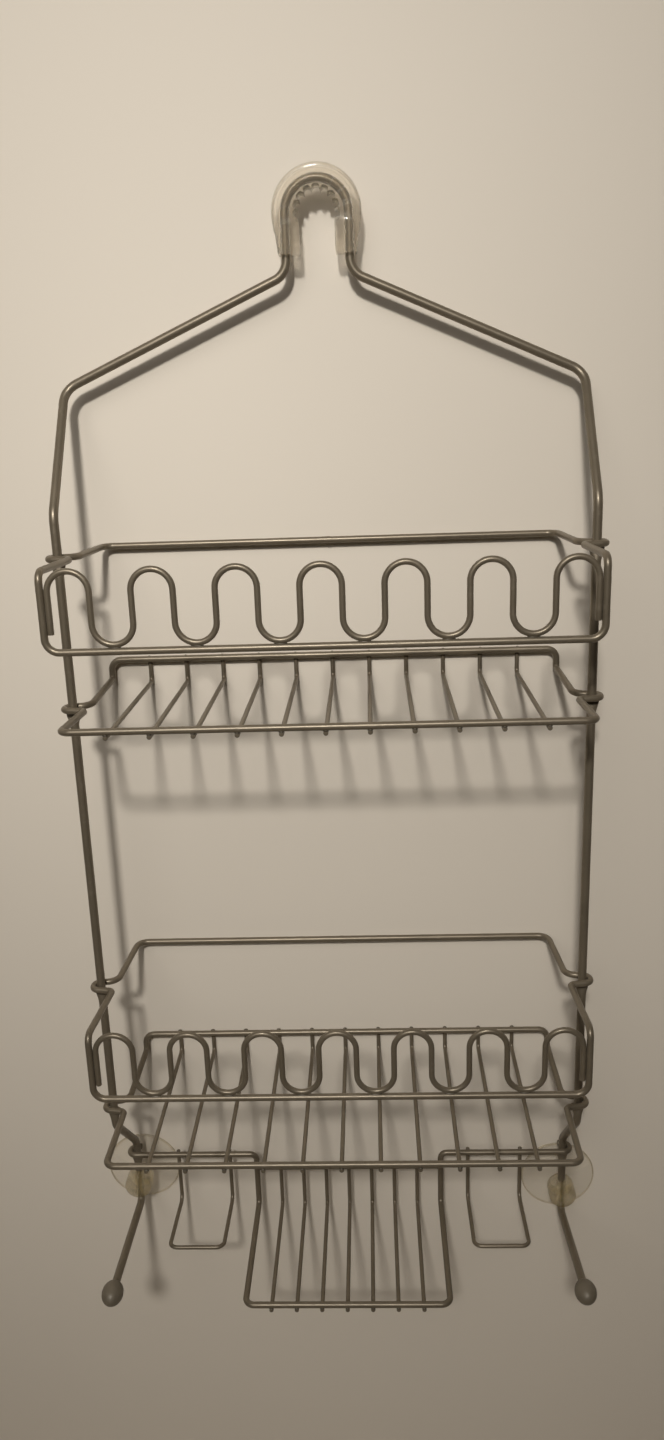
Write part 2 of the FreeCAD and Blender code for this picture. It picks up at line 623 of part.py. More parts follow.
# ---------------------------------------------------------------- suction cups
def suction_cup(name, side):
    """Soft cup turned about its axis, with a cross hole for the frame rod."""
    body = DOC.addObject("PartDesign::Body", f"{name}_cup_body")
    planes = {item.Role: item for item in body.Origin.OriginFeatures}
    profile = body.newObject("Sketcher::SketchObject", f"{name}_cup_profile")
    profile.AttachmentSupport = (planes["XY_Plane"], "")
    profile.MapMode = "FlatFace"
    radius = size("cup_radius")
    head = size("head_radius")
    turn = size("head_round")
    front = size("head_height")
    hollow = size("cup_hollow")
    rim = size("cup_rim")
    inner = radius - rim
    slope = Part.Arc(Vector(radius, -rim, 0), Vector(radius * 0.62, -rim - 1.6, 0),
                     Vector(size("cup_neck_radius") + 1.6, -size("cup_root"), 0))
    neck = Part.Arc(Vector(size("cup_neck_radius") + 1.6, -size("cup_root"), 0),
                    Vector(size("cup_neck_radius"), -size("cup_neck_height"), 0),
                    Vector(size("cup_neck_radius") + 1.2, -size("head_base"), 0))
    shoulder = Part.Arc(Vector(size("cup_neck_radius") + 1.2, -size("head_base"), 0),
                        Vector(head - 0.5, -size("head_base") - 0.9, 0),
                        Vector(head, -size("head_base") - turn, 0))
    nose = Part.Arc(Vector(head, -front + turn, 0),
                    Vector(head - turn * 0.29, -front + turn * 0.29, 0),
                    Vector(head - turn, -front, 0))
    face = Part.Arc(Vector(0, -hollow, 0), Vector(inner * 0.55, -hollow * 0.72, 0),
                    Vector(inner, 0, 0))
    curves = [
        face,
        Part.LineSegment(Vector(inner, 0, 0), Vector(radius, 0, 0)),
        Part.LineSegment(Vector(radius, 0, 0), Vector(radius, -rim, 0)),
        slope, neck, shoulder,
        Part.LineSegment(Vector(head, -size("head_base") - turn, 0), Vector(head, -front + turn, 0)),
        nose,
        Part.LineSegment(Vector(head - turn, -front, 0), Vector(0, -front, 0)),
        Part.LineSegment(Vector(0, -front, 0), Vector(0, -hollow, 0)),
    ]
    for curve in curves:
        profile.addGeometry(curve, False)
    for i in range(len(curves)):
        profile.addConstraint(Sketcher.Constraint("Block", i))
    turned = body.newObject("PartDesign::Revolution", f"{name}_cup_turned")
    turned.Profile = profile
    turned.ReferenceAxis = (profile, ["V_Axis"])
    turned.Angle = 360
    DOC.recompute()
    hole = body.newObject("Sketcher::SketchObject", f"{name}_cup_hole")
    hole.AttachmentSupport = (planes["XY_Plane"], "")
    hole.MapMode = "FlatFace"
    depth = size("foot_depth")
    ring = hole.addGeometry(Part.Circle(Vector(0, -depth, 0), Vector(0, 0, 1),
                                        size("cross_hole_radius")), False)
    hole.addConstraint(Sketcher.Constraint("PointOnObject", ring, 3, -2))
    index = hole.addConstraint(Sketcher.Constraint("DistanceY", ring, 3, -1, 1, depth))
    hole.setExpression(f"Constraints[{index}]", "sizes.foot_depth")
    index = hole.addConstraint(Sketcher.Constraint("Radius", ring, size("cross_hole_radius")))
    hole.setExpression(f"Constraints[{index}]", "sizes.cross_hole_radius")
    bore = body.newObject("PartDesign::Pocket", f"{name}_cup_bore")
    bore.Profile = hole
    bore.Type = 1
    bore.Midplane = True
    body.Placement = Placement(Vector(side * size("side_half"), 0, cup_height(side)), Rotation())
    add(body, f"{name}_suction_cup")


# ---------------------------------------------------------------- build and write
def main():
    """Build every sub-part, check it and write one STEP file each."""
    frame_rod()
    neck_grip()
    guard_rims()
    guard_waves()
    shelf_rims()
    shelf_ribs()
    soap_dish_rim()
    dish_ribs()
    hook_loops()
    suction_cup("left", -1)
    suction_cup("right", 1)
    ball_caps()
    DOC.recompute()
    for obj in DOC.Objects:
        if "Invalid" in obj.State or "Error" in obj.State:
            raise RuntimeError(f"{obj.Name} failed: {obj.State}")
    os.makedirs("parts", exist_ok=True)
    for part in PARTS:
        shape = part.Shape
        if shape.isNull() or not shape.isValid():
            raise RuntimeError(f"{part.Label} has no valid shape")
        if len(shape.Solids) != 1:
            raise RuntimeError(f"{part.Label} has {len(shape.Solids)} solids")
        shape.exportStep(os.path.join("parts", part.Label + ".step"))
        print(f"{part.Label:26s} {shape.Volume:10.1f} mm3")


main()
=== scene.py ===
"""Looks of a wire shower caddy that hangs on a shower arm.

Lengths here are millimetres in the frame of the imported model, and meshes are written in
metres. +Z is up, +X is the right-hand side, and the wall is the plane Y = 0 with the caddy
in front of it at negative Y. The origin is level with the middle of the opening that goes
over the shower arm.
"""
from __future__ import annotations

import logging
import math
from dataclasses import dataclass, field
from enum import Enum
from functools import lru_cache
from typing import Callable, Iterable, Sequence

import bpy
from mathutils import Matrix, Quaternion, Vector

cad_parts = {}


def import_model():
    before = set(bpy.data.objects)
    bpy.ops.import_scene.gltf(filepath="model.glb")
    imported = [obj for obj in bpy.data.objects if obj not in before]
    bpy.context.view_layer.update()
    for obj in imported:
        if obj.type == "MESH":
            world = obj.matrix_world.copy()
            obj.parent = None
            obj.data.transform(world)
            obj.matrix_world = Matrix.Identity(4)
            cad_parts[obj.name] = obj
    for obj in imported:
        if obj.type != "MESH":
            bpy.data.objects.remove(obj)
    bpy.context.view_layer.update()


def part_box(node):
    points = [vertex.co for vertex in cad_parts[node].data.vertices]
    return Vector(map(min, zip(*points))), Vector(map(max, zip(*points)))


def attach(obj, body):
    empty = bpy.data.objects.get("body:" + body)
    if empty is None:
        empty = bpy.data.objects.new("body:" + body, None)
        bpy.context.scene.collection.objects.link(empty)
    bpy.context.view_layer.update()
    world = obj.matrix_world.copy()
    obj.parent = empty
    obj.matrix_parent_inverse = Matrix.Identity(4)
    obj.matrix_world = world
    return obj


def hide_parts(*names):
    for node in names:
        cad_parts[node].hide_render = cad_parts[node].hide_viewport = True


LOG = logging.getLogger("caddy")
MM = 0.001
ROUND = Vector((1.0, 1.0, 1.0))
ACROSS, OUTWARD, UP = Vector((1, 0, 0)), Vector((0, -1, 0)), Vector((0, 0, 1))
# radius of the smallest ring at the axis of a turned piece
AXIS_RING = 0.02


# ------------------------------------------------------------------ names and places
class Side(Enum):
    """Left or right half, with the sign of its X."""

    LEFT = -1
    RIGHT = 1

    @property
    def word(self) -> str:
        """Name of the side as the parts use it."""
        return self.name.lower()


class Tier(Enum):
    """One of the two shelves, with how far its guard's front stands above its back."""

    UPPER = 0.8
    LOWER = 4.0

    @property
    def word(self) -> str:
        """Name of the shelf as the parts use it."""
        return self.name.lower()


class Body(Enum):
    """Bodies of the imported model."""

    CADDY = "caddy"
    LEFT_CUP = "left_cup"
    RIGHT_CUP = "right_cup"


class Slot(Enum):
    """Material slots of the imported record."""

    WIRE = "coated_wire"
    GRIP = "clear_grip"
    CUP = "suction_cup"
    CAP = "ball_cap"


@lru_cache(maxsize=None)
def node_box(node: str) -> tuple[Vector, Vector]:
    """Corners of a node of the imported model.

    Args:
        node: name of the node.

    Returns:
        Its lowest and highest corner in millimetres, to a tenth.
    """
    low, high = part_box(node)
    return (Vector([round(value / MM, 1) for value in low]),
            Vector([round(value / MM, 1) for value in high]))


@dataclass(frozen=True)
class Stock:
    """Sizes that more than one sub-assembly works from.

    The rod is the hanging frame, rails are the loops on it, and ribs are the thin cross
    wires. Welded wires sink a little into each other, and snapped-on ones keep a gap.
    """

    rod: float = 5.0
    rail: float = 3.8
    rib: float = 2.6
    sink: float = 0.1
    gap: float = 0.1
    side_half: float = 144.0
    side_depth: float = 60.0
    foot_depth: float = 16.0

    @property
    def step(self) -> float:
        """Distance between the centres of a rib and the rail it crosses."""
        return (self.rail + self.rib) / 2 - self.sink


STOCK = Stock()


def meeting(radius: float) -> float:
    """Bend radius of a corner whose arc of this radius meets the next one head-on."""
    return radius - 0.001


def eased(share: float) -> float:
    """Share from zero to one with a soft start and a soft end."""
    return share * share * (3 - 2 * share)


# ------------------------------------------------------------------ colours and nodes
def linear(hex_colour: str) -> tuple[float, float, float, float]:
    """Turn an sRGB colour into the linear one that shaders take.

    Args:
        hex_colour: colour such as "#8a8172".

    Returns:
        Linear red, green, blue and an alpha of one.
    """
    parts = [int(hex_colour[i:i + 2], 16) / 255 for i in (1, 3, 5)]
    lit = [p / 12.92 if p <= 0.04045 else ((p + 0.055) / 1.055) ** 2.4 for p in parts]
    return (lit[0], lit[1], lit[2], 1.0)


def per_size(size_mm: float) -> float:
    """Texture scale whose features are about this many millimetres across."""
    return 1.0 / (size_mm * MM)


def add_node(tree: bpy.types.NodeTree, kind: str, settings: dict | None = None,
             inputs: dict | None = None) -> bpy.types.Node:
    """Add one node with its settings and links.

    Args:
        tree: node tree that gets the node.
        kind: type name of the node.
        settings: attribute values of the node.
        inputs: socket name or number to a value, or to the output that feeds it.

    Returns:
        The new node.
    """
    node = tree.nodes.new(kind)
    for name, value in (settings or {}).items():
        setattr(node, name, value)
    for key, value in (inputs or {}).items():
        if isinstance(value, bpy.types.NodeSocket):
            tree.links.new(value, node.inputs[key])
        else:
            node.inputs[key].default_value = value
    return node


# ------------------------------------------------------------------ finishes
@dataclass(frozen=True)
class Finish:
    """Finish whose patterns are laid on the piece itself, in real sizes."""

    name: str

    def start(self) -> tuple[bpy.types.Material, bpy.types.NodeTree, bpy.types.NodeSocket]:
        """Make an empty material.

        Returns:
            The material, its node tree and the output with the place on the piece.
        """
        material = bpy.data.materials.new(self.name)
        material.use_nodes = True
        tree = material.node_tree
        tree.nodes.clear()
        return material, tree, add_node(tree, "ShaderNodeTexCoord").outputs["Object"]


@dataclass(frozen=True)
class PewterEnamel(Finish):
    """Satin pewter stoving enamel on drawn steel wire.

    Sprayed enamel with fine metal flake: a warm grey that goes pale where light falls on it
    and nearly black-brown below, with a soft sheen along each wire, faint orange peel and
    the drawing lines of the wire just showing through.
    """

    deep: str = "#6a6152"
    pale: str = "#837867"
    film: str = "#a3998a"
    metallic: float = 0.45
    roughness: float = 0.38
    peel_mm: float = 1.4
    flake_mm: float = 0.45
    tone_mm: float = 26.0
    film_mm: float = 7.0
    line_mm: float = 0.5
    line_length_mm: float = 40.0
    sparkle: float = 0.16
    film_amount: float = 0.16
    film_dulling: float = 0.6
    line_deep_mm: float = 0.02
    peel_deep_mm: float = 0.035

    def build(self) -> bpy.types.Material:
        """Make the node material of this enamel."""
        material, tree, where = self.start()
        # slow drift in how thick the enamel lies
        tone = add_node(tree, "ShaderNodeTexNoise", None,
                        {"Vector": where, "Scale": per_size(self.tone_mm), "Detail": 3.0})
        # flake is about 0.05 mm, drawn coarser so that it shows as a fine sparkle
        flake = add_node(tree, "ShaderNodeTexVoronoi", {"feature": "F1"},
                         {"Vector": where, "Scale": per_size(self.flake_mm)})
        glint = add_node(tree, "ShaderNodeSeparateColor", None, {"Color": flake.outputs["Color"]})
        body = add_node(tree, "ShaderNodeMix", {"data_type": "RGBA"},
                        {"Factor": tone.outputs["Fac"], "A": linear(self.deep),
                         "B": linear(self.pale)})
        sparkle = add_node(tree, "ShaderNodeMapRange", None,
                           {"Value": glint.outputs[0], "To Min": 0.0, "To Max": self.sparkle})
        flaked = add_node(tree, "ShaderNodeMix", {"data_type": "RGBA"},
                          {"Factor": sparkle.outputs["Result"], "A": body.outputs[2],
                           "B": linear(self.pale)})
        # dried water film in soft-edged patches
        patches = add_node(tree, "ShaderNodeTexNoise", None,
                           {"Vector": where, "Scale": per_size(self.film_mm), "Detail": 5.0,
                            "Roughness": 0.62})
        film = add_node(tree, "ShaderNodeMapRange", {"interpolation_type": "SMOOTHSTEP"},
                        {"Value": patches.outputs["Fac"], "From Min": 0.56, "From Max": 0.72,
                         "To Min": 0.0, "To Max": self.film_amount})
        colour = add_node(tree, "ShaderNodeMix", {"data_type": "RGBA"},
                          {"Factor": film.outputs["Result"], "A": flaked.outputs[2],
                           "B": linear(self.film)})
        gloss = add_node(tree, "ShaderNodeMapRange", None,
                         {"Value": glint.outputs[1], "To Min": self.roughness - 0.05,
                          "To Max": self.roughness + 0.05})
        dull = add_node(tree, "ShaderNodeMath", {"operation": "MULTIPLY_ADD"},
                        {0: film.outputs["Result"], 1: self.film_dulling,
                         2: gloss.outputs["Result"]})
        peel = add_node(tree, "ShaderNodeTexNoise", None,
                        {"Vector": where, "Scale": per_size(self.peel_mm), "Detail": 2.0})
        # drawing lines run with the wire: close together round it and long along it. They are
        # about 0.1 mm apart, drawn wider so that they show
        lay = add_node(tree, "ShaderNodeUVMap", {"uv_map": "wire"})
        stretch = add_node(tree, "ShaderNodeVectorMath", {"operation": "MULTIPLY"},
                           {0: lay.outputs["UV"],
                            1: (per_size(self.line_mm), per_size(self.line_length_mm), 1.0)})
        lines = add_node(tree, "ShaderNodeTexNoise", {"noise_dimensions": "2D"},
                         {"Vector": stretch.outputs["Vector"], "Scale": 1.0, "Detail": 2.0})
        under = add_node(tree, "ShaderNodeBump", None,
                         {"Strength": 0.35, "Distance": self.line_deep_mm * MM,
                          "Height": lines.outputs["Fac"]})
        skin = add_node(tree, "ShaderNodeBump", None,
                        {"Strength": 0.6, "Distance": self.peel_deep_mm * MM,
                         "Height": peel.outputs["Fac"], "Normal": under.outputs["Normal"]})
        shader = add_node(tree, "ShaderNodeBsdfPrincipled", None,
                          {"Base Color": colour.outputs[2], "Metallic": self.metallic,
                           "Roughness": dull.outputs[0], "Normal": skin.outputs["Normal"]})
        add_node(tree, "ShaderNodeOutputMaterial", None, {"Surface": shader.outputs[0]})
        return material


@dataclass(frozen=True)
class ClearVinyl(Finish):
    """Moulded clear soft PVC that has aged.

    Light goes through it and bends, edges read as fine dark and bright lines, and the tint
    shows where it is thick. Its skin is a little hazy from soap, with faint flow waves.
    """

    tint: str = "#f6ebd8"
    haze: str = "#eadfc9"
    alpha: float = 0.52
    transmission: float = 0.84
    roughness: float = 0.035
    ior: float = 1.53
    flow_mm: float = 6.0
    bloom_mm: float = 2.2

    def build(self) -> bpy.types.Material:
        """Make the node material of this plastic."""
        material, tree, where = self.start()
        flow = add_node(tree, "ShaderNodeTexNoise", None,
                        {"Vector": where, "Scale": per_size(self.flow_mm), "Detail": 2.0,
                         "Distortion": 0.6})
        bloom = add_node(tree, "ShaderNodeTexNoise", None,
                         {"Vector": where, "Scale": per_size(self.bloom_mm), "Detail": 5.0})
        tint = add_node(tree, "ShaderNodeMix", {"data_type": "RGBA"},
                        {"Factor": flow.outputs["Fac"], "A": linear(self.tint),
                         "B": linear(self.haze)})
        gloss = add_node(tree, "ShaderNodeMapRange", None,
                         {"Value": bloom.outputs["Fac"], "From Min": 0.35, "From Max": 0.75,
                          "To Min": self.roughness * 0.6, "To Max": self.roughness * 2.2})
        wave = add_node(tree, "ShaderNodeBump", None,
                        {"Strength": 0.5, "Distance": 0.12 * MM, "Height": flow.outputs["Fac"]})
        shader = add_node(tree, "ShaderNodeBsdfPrincipled", None,
                          {"Base Color": tint.outputs[2], "Roughness": gloss.outputs["Result"],
                           "IOR": self.ior, "Transmission Weight": self.transmission,
                           "Alpha": self.alpha, "Normal": wave.outputs["Normal"]})
        add_node(tree, "ShaderNodeOutputMaterial", None, {"Surface": shader.outputs[0]})
        return material


@dataclass(frozen=True)
class MouldedVinyl(Finish):
    """Opaque moulded PVC coloured to go with the wire.

    A smooth semi-gloss skin with one soft round highlight, very slightly mottled where the
    colour did not mix and scuffed dull in small patches.
    """

    deep: str = "#6b6355"
    pale: str = "#7a7162"
    roughness: float = 0.46
    metallic: float = 0.15
    ior: float = 1.53
    mottle_mm: float = 5.0
    scuff_mm: float = 1.6

    def build(self) -> bpy.types.Material:
        """Make the node material of this plastic."""
        material, tree, where = self.start()
        mottle = add_node(tree, "ShaderNodeTexNoise", None,
                          {"Vector": where, "Scale": per_size(self.mottle_mm), "Detail": 3.0})
        scuff = add_node(tree, "ShaderNodeTexNoise", None,
                         {"Vector": where, "Scale": per_size(self.scuff_mm), "Detail": 6.0})
        colour = add_node(tree, "ShaderNodeMix", {"data_type": "RGBA"},
                          {"Factor": mottle.outputs["Fac"], "A": linear(self.deep),
                           "B": linear(self.pale)})
        gloss = add_node(tree, "ShaderNodeMapRange", None,
                         {"Value": scuff.outputs["Fac"], "From Min": 0.4, "From Max": 0.7,
                          "To Min": self.roughness - 0.04, "To Max": self.roughness + 0.16})
        skin = add_node(tree, "ShaderNodeBump", None,
                        {"Strength": 0.4, "Distance": 0.03 * MM,
                         "Height": scuff.outputs["Fac"]})
        shader = add_node(tree, "ShaderNodeBsdfPrincipled", None,
                          {"Base Color": colour.outputs[2], "Metallic": self.metallic,
                           "Roughness": gloss.outputs["Result"], "IOR": self.ior,
                           "Normal": skin.outputs["Normal"]})
        add_node(tree, "ShaderNodeOutputMaterial", None, {"Surface": shader.outputs[0]})
        return material


@dataclass(frozen=True)
class EmulsionPaint(Finish):
    """Matt emulsion on a flat board: plain and pale, with a faint roller stipple.

    A one-sided board can be seen through from behind, so that it never hides the caddy.
    """

    colour: str = "#ded5c8"
    stipple_mm: float = 2.5
    one_sided: bool = False

    def build(self) -> bpy.types.Material:
        """Make the node material of this paint."""
        material, tree, where = self.start()
        stipple = add_node(tree, "ShaderNodeTexNoise", None,
                           {"Vector": where, "Scale": per_size(self.stipple_mm), "Detail": 3.0})
        relief = add_node(tree, "ShaderNodeBump", None,
                          {"Strength": 0.12, "Distance": 0.1 * MM,
                           "Height": stipple.outputs["Fac"]})
        shader = add_node(tree, "ShaderNodeBsdfPrincipled", None,
                          {"Base Color": linear(self.colour), "Roughness": 0.6,
                           "Specular IOR Level": 0.3, "Normal": relief.outputs["Normal"]})
        surface = shader.outputs[0]
        if self.one_sided:
            facing = add_node(tree, "ShaderNodeNewGeometry")
            clear = add_node(tree, "ShaderNodeBsdfTransparent")
            mixed = add_node(tree, "ShaderNodeMixShader", None,
                             {0: facing.outputs["Backfacing"], 1: surface,
                              2: clear.outputs[0]})
            surface = mixed.outputs[0]
        add_node(tree, "ShaderNodeOutputMaterial", None, {"Surface": surface})
        return material


@dataclass(frozen=True)
class Finishes:
    """Materials of all the pieces."""

    wire: bpy.types.Material
    weld: bpy.types.Material
    grip: bpy.types.Material
    # darker copy of the grip vinyl: painted shade for the edge-on scallop walls
    grip_edge: bpy.types.Material
    cup: bpy.types.Material
    # paler, more opaque copy of the cup vinyl for the lip: a painted highlight, the fine bright line
    # that the edge catches
    cup_rim: bpy.types.Material
    cup_head: bpy.types.Material
    cap: bpy.types.Material

    @classmethod
    def mix(cls) -> Finishes:
        """Make each finish of the caddy once."""
        return cls(
            wire=PewterEnamel("satin_pewter_enamel").build(),
            weld=PewterEnamel("pooled_pewter_enamel", deep="#4c463b", pale="#5f584c",
                              roughness=0.42, film_amount=0.05).build(),
            grip=ClearVinyl("clear_vinyl").build(),
            # painted shade: a darker copy of the grip vinyl for the edge-on scallop walls
            grip_edge=ClearVinyl("clear_vinyl_painted_dark_edge", tint="#8d846c", haze="#6f664f",
                                 alpha=0.85, roughness=0.05).build(),
            cup=ClearVinyl("thin_clear_vinyl", tint="#f7f1e0", haze="#ece2c8", alpha=0.14,
                           roughness=0.06).build(),
            # painted highlight: a paler, more opaque copy of the cup vinyl for the lip's fine bright
            # line
            cup_rim=ClearVinyl("clear_vinyl_painted_bright_lip", tint="#f4ead2", haze="#e2d5b4", alpha=0.55,
                               roughness=0.06).build(),
            cup_head=ClearVinyl("yellowed_clear_vinyl", tint="#e8d7a4", haze="#cdb980",
                                alpha=0.45, roughness=0.05).build(),
            cap=MouldedVinyl("pewter_coloured_vinyl").build(),
        )


# ------------------------------------------------------------------ meshes
@dataclass
class MeshMaker:
    """Collects rings of points into one mesh, with a map laid along the wire."""

    points: list[Vector] = field(default_factory=list)
    faces: list[tuple[int, ...]] = field(default_factory=list)
    lays: list[tuple[tuple[float, float], ...]] = field(default_factory=list)

    def ring(self, points: Iterable[Vector]) -> int:
        """Add the points of one ring and return the number of its first point."""
        first = len(self.points)
        self.points.extend(points)
        return first

    def bridge(self, near: int, far: int, sides: int, from_mm: float, to_mm: float,
               round_mm: float) -> None:
        """Join two rings with quads.

        Args:
            near: first point of the near ring.
            far: first point of the far ring.
            sides: points in each ring.
            from_mm: length along the wire of the near ring.
            to_mm: length along the wire of the far ring.
            round_mm: length round the wire.
        """
        for i in range(sides):
            j = (i + 1) % sides
            left = round_mm * i / sides * MM
            right = round_mm * (i + 1) / sides * MM
            self.faces.append((near + i, near + j, far + j, far + i))
            self.lays.append(((left, from_mm * MM), (right, from_mm * MM),
                              (right, to_mm * MM), (left, to_mm * MM)))

    def lid(self, first: int, sides: int, turned: bool) -> None:
        """Close a ring with one flat face."""
        numbers = tuple(range(first, first + sides))
        self.faces.append(numbers[::-1] if turned else numbers)
        self.lays.append(tuple((0.0, 0.0) for _ in numbers))

    def piece(self, name: str, material: bpy.types.Material,
              crease: float = 38.0) -> bpy.types.Object:
        """Turn what was collected into an object.

        Args:
            name: name of the piece.
            material: its finish.
            crease: edges sharper than this many degrees stay crisp.

        Returns:
            The object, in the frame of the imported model.
        """
        mesh = bpy.data.meshes.new(name)
        mesh.from_pydata([point * MM for point in self.points], [], self.faces)
        lay = mesh.uv_layers.new(name="wire")
        flat = [value for face in self.lays for pair in face for value in pair]
        lay.data.foreach_set("uv", flat)
        mesh.materials.append(material)
        mesh.validate()
        mesh.update()
        mesh.shade_smooth()
        mesh.set_sharp_from_angle(angle=math.radians(crease))
        obj = bpy.data.objects.new(name, mesh)
        bpy.context.scene.collection.objects.link(obj)
        return obj


def settle(obj: bpy.types.Object, body: Body, slot: Slot,
           stands_for: Sequence[str] = ()) -> bpy.types.Object:
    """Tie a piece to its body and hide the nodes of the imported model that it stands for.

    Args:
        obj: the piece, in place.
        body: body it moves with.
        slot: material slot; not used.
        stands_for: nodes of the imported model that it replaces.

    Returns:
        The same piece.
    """
    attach(obj, body.value)
    if stands_for:
        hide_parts(*stands_for)
    LOG.info("%-28s %7d faces on %s", obj.name, len(obj.data.polygons), body.value)
    return obj


# ------------------------------------------------------------------ bent wire
@dataclass(frozen=True)
class Corner:
    """Where two straight runs of a wire would meet, and the radius it is bent to."""

    at: Vector
    bend: float = 0.0

    def mirrored(self) -> Corner:
        """Same corner on the other side of the caddy."""
        return Corner(Vector((-self.at.x, self.at.y, self.at.z)), self.bend)


@dataclass(frozen=True)
class Station:
    """One place along a wire."""

    at: Vector
    ahead: Vector
    along: float


@dataclass(frozen=True)
class WirePath:
    """Centre line of a bent wire: straight runs joined by arcs."""

    corners: tuple[Corner, ...]
    closed: bool = False

    @classmethod
    def both_halves(cls, right: Sequence[Corner], closed: bool = False) -> WirePath:
        """Path of a wire that is the same on both sides, from its right half."""
        left = [corner.mirrored() for corner in right]
        return cls(tuple(left[::-1] + list(right)), closed)

    def _bends(self) -> list[tuple[Vector, Vector, Vector, float]]:
        """Start, centre and axis of the arc at each corner, and how far it turns."""
        count = len(self.corners)
        found = []
        for i, corner in enumerate(self.corners):
            ends = not self.closed and i in (0, count - 1)
            if ends or corner.bend <= 0:
                found.append((corner.at, corner.at, Vector((0, 0, 1)), 0.0))
                continue
            back = (self.corners[i - 1].at - corner.at).normalized()
            ahead = (self.corners[(i + 1) % count].at - corner.at).normalized()
            turn = math.pi - back.angle(ahead)
            reach = corner.bend * math.tan(turn / 2)
            centre = corner.at + (back + ahead).normalized() * (corner.bend / math.cos(turn / 2))
            axis = ahead.cross(back).normalized()
            found.append((corner.at + back * reach, centre, axis, turn))
        return found

    def stations(self, arc_step: float = 7.0, run_step: float = 12.0,
                 levels: Sequence[float] = ()) -> list[Station]:
        """Places along the wire where its mesh has a ring.

        Args:
            arc_step: most that the wire turns between rings, in degrees.
            run_step: most length between rings on a straight run.
            levels: heights at which every run that crosses them gets a ring.

        Returns:
            The places in order. A closed wire doesn't repeat its first one.
        """
        places: list[tuple[Vector, Vector]] = []
        bends = self._bends()
        count = len(bends)
        for i in range(count):
            start, centre, axis, turn = bends[i]
            spoke = start - centre
            if turn > 1e-6:
                steps = max(2, math.ceil(math.degrees(turn) / arc_step))
                for k in range(steps + 1):
                    swing = Quaternion(axis, turn * k / steps)
                    arm = swing @ spoke
                    places.append((centre + arm, axis.cross(arm).normalized()))
                leave = places[-1][0]
            else:
                leave = start
            if i == count - 1 and not self.closed:
                if turn <= 1e-6:
                    places.append((leave, places[-1][1]))
                break
            arrive = bends[(i + 1) % count][0]
            run = arrive - leave
            if run.length < 1e-4:
                continue
            shares = {k / max(1, math.ceil(run.length / run_step))
                      for k in range(1, math.ceil(run.length / run_step))}
            if abs(run.z) > 1:
                shares |= {(z - leave.z) / run.z for z in levels
                           if 0.001 < (z - leave.z) / run.z < 0.999}
            if turn <= 1e-6:
                places.append((leave, run.normalized()))
            places.extend((leave + run * share, run.normalized()) for share in sorted(shares))
        made: list[Station] = []
        along = 0.0
        for at, ahead in places:
            if made:
                gap = (at - made[-1].at).length
                if gap < 0.02:
                    continue
                along += gap
            made.append(Station(at, ahead, along))
        if self.closed and (made[-1].at - made[0].at).length < 0.02:
            made.pop()
        return made


def plain_section(station: Station) -> Vector:
    """Section of a wire that is round everywhere."""
    return ROUND


@dataclass(frozen=True)
class RoundWire:
    """Round wire swept along a path, with its cut ends just broken by the enamel."""

    path: WirePath
    diameter: float
    sides: int = 20
    section: Callable[[Station], Vector] = plain_section
    levels: tuple[float, ...] = ()
    run_step: float = 12.0
    edge: float = 0.35

    def add_to(self, mesh: MeshMaker) -> None:
        """Add the wire to a mesh.

        Args:
            mesh: what collects the rings.
        """
        places = self.path.stations(levels=self.levels, run_step=self.run_step)
        closed = self.path.closed
        normals = self._normals(places)
        radius = self.diameter / 2
        rings: list[tuple[int, float]] = []
        if not closed:
            rings += self._rounded_end(mesh, places[0], normals[0], radius, True)
            places, normals = places[1:], normals[1:]
        last = len(places) - 1
        for i, (station, normal) in enumerate(zip(places, normals)):
            if not closed and i == last:
                rings += self._rounded_end(mesh, station, normal, radius, False)
                break
            rings.append((self._ring(mesh, station, normal, radius, 0.0), station.along))
        girth = math.pi * self.diameter
        for (near, from_mm), (far, to_mm) in zip(rings, rings[1:]):
            mesh.bridge(near, far, self.sides, from_mm, to_mm, girth)
        if closed:
            near, from_mm = rings[-1]
            gap = (places[0].at - places[-1].at).length
            mesh.bridge(near, rings[0][0], self.sides, from_mm, from_mm + gap, girth)
        else:
            mesh.lid(rings[0][0], self.sides, True)
            mesh.lid(rings[-1][0], self.sides, False)

    def _normals(self, places: Sequence[Station]) -> list[Vector]:
        """Directions that the rings start from, carried along without twist."""
        first = places[0].ahead
        across = Vector((1, 0, 0)) if abs(first.x) < 0.9 else Vector((0, 1, 0))
        normal = (across - first * across.dot(first)).normalized()
        normals = [normal]
        for before, after in zip(places, places[1:]):
            normal = before.ahead.rotation_difference(after.ahead) @ normal
            normal = (normal - after.ahead * normal.dot(after.ahead)).normalized()
            normals.append(normal)
        if self.path.closed:
            carried = places[-1].ahead.rotation_difference(first) @ normals[-1]
            twist = math.atan2(carried.cross(normals[0]).dot(first), carried.dot(normals[0]))
            count = len(places)
            normals = [Quaternion(place.ahead, twist * i / count) @ normal
                       for i, (place, normal) in enumerate(zip(places, normals))]
        return normals

    def _ring(self, mesh: MeshMaker, station: Station, normal: Vector, radius: float,
              shift: float) -> int:
        """Add one ring, moved along the wire by shift, and return its first point."""
        binormal = station.ahead.cross(normal)
        scale = self.section(station)
        points = []
        for k in range(self.sides):
            angle = 2 * math.pi * k / self.sides
            arm = (normal * math.cos(angle) + binormal * math.sin(angle)) * radius
            arm = Vector((arm.x * scale.x, arm.y * scale.y, arm.z * scale.z))
            points.append(station.at + station.ahead * shift + arm)
        return mesh.ring(points)

    def _rounded_end(self, mesh: MeshMaker, station: Station, normal: Vector, radius: float,
                     start: bool) -> list[tuple[int, float]]:
        """Rings of a cut end whose edge is broken, from the first to the last."""
        found = []
        way = 1 if start else -1
        for step in range(4):
            angle = math.radians(30 * step)
            inset = self.edge * (1 - math.sin(angle))
            back = self.edge * (1 - math.cos(angle))
            ring = self._ring(mesh, station, normal, radius - inset, way * back)
            found.append((ring, station.along + way * back))
        return found if start else found[::-1]


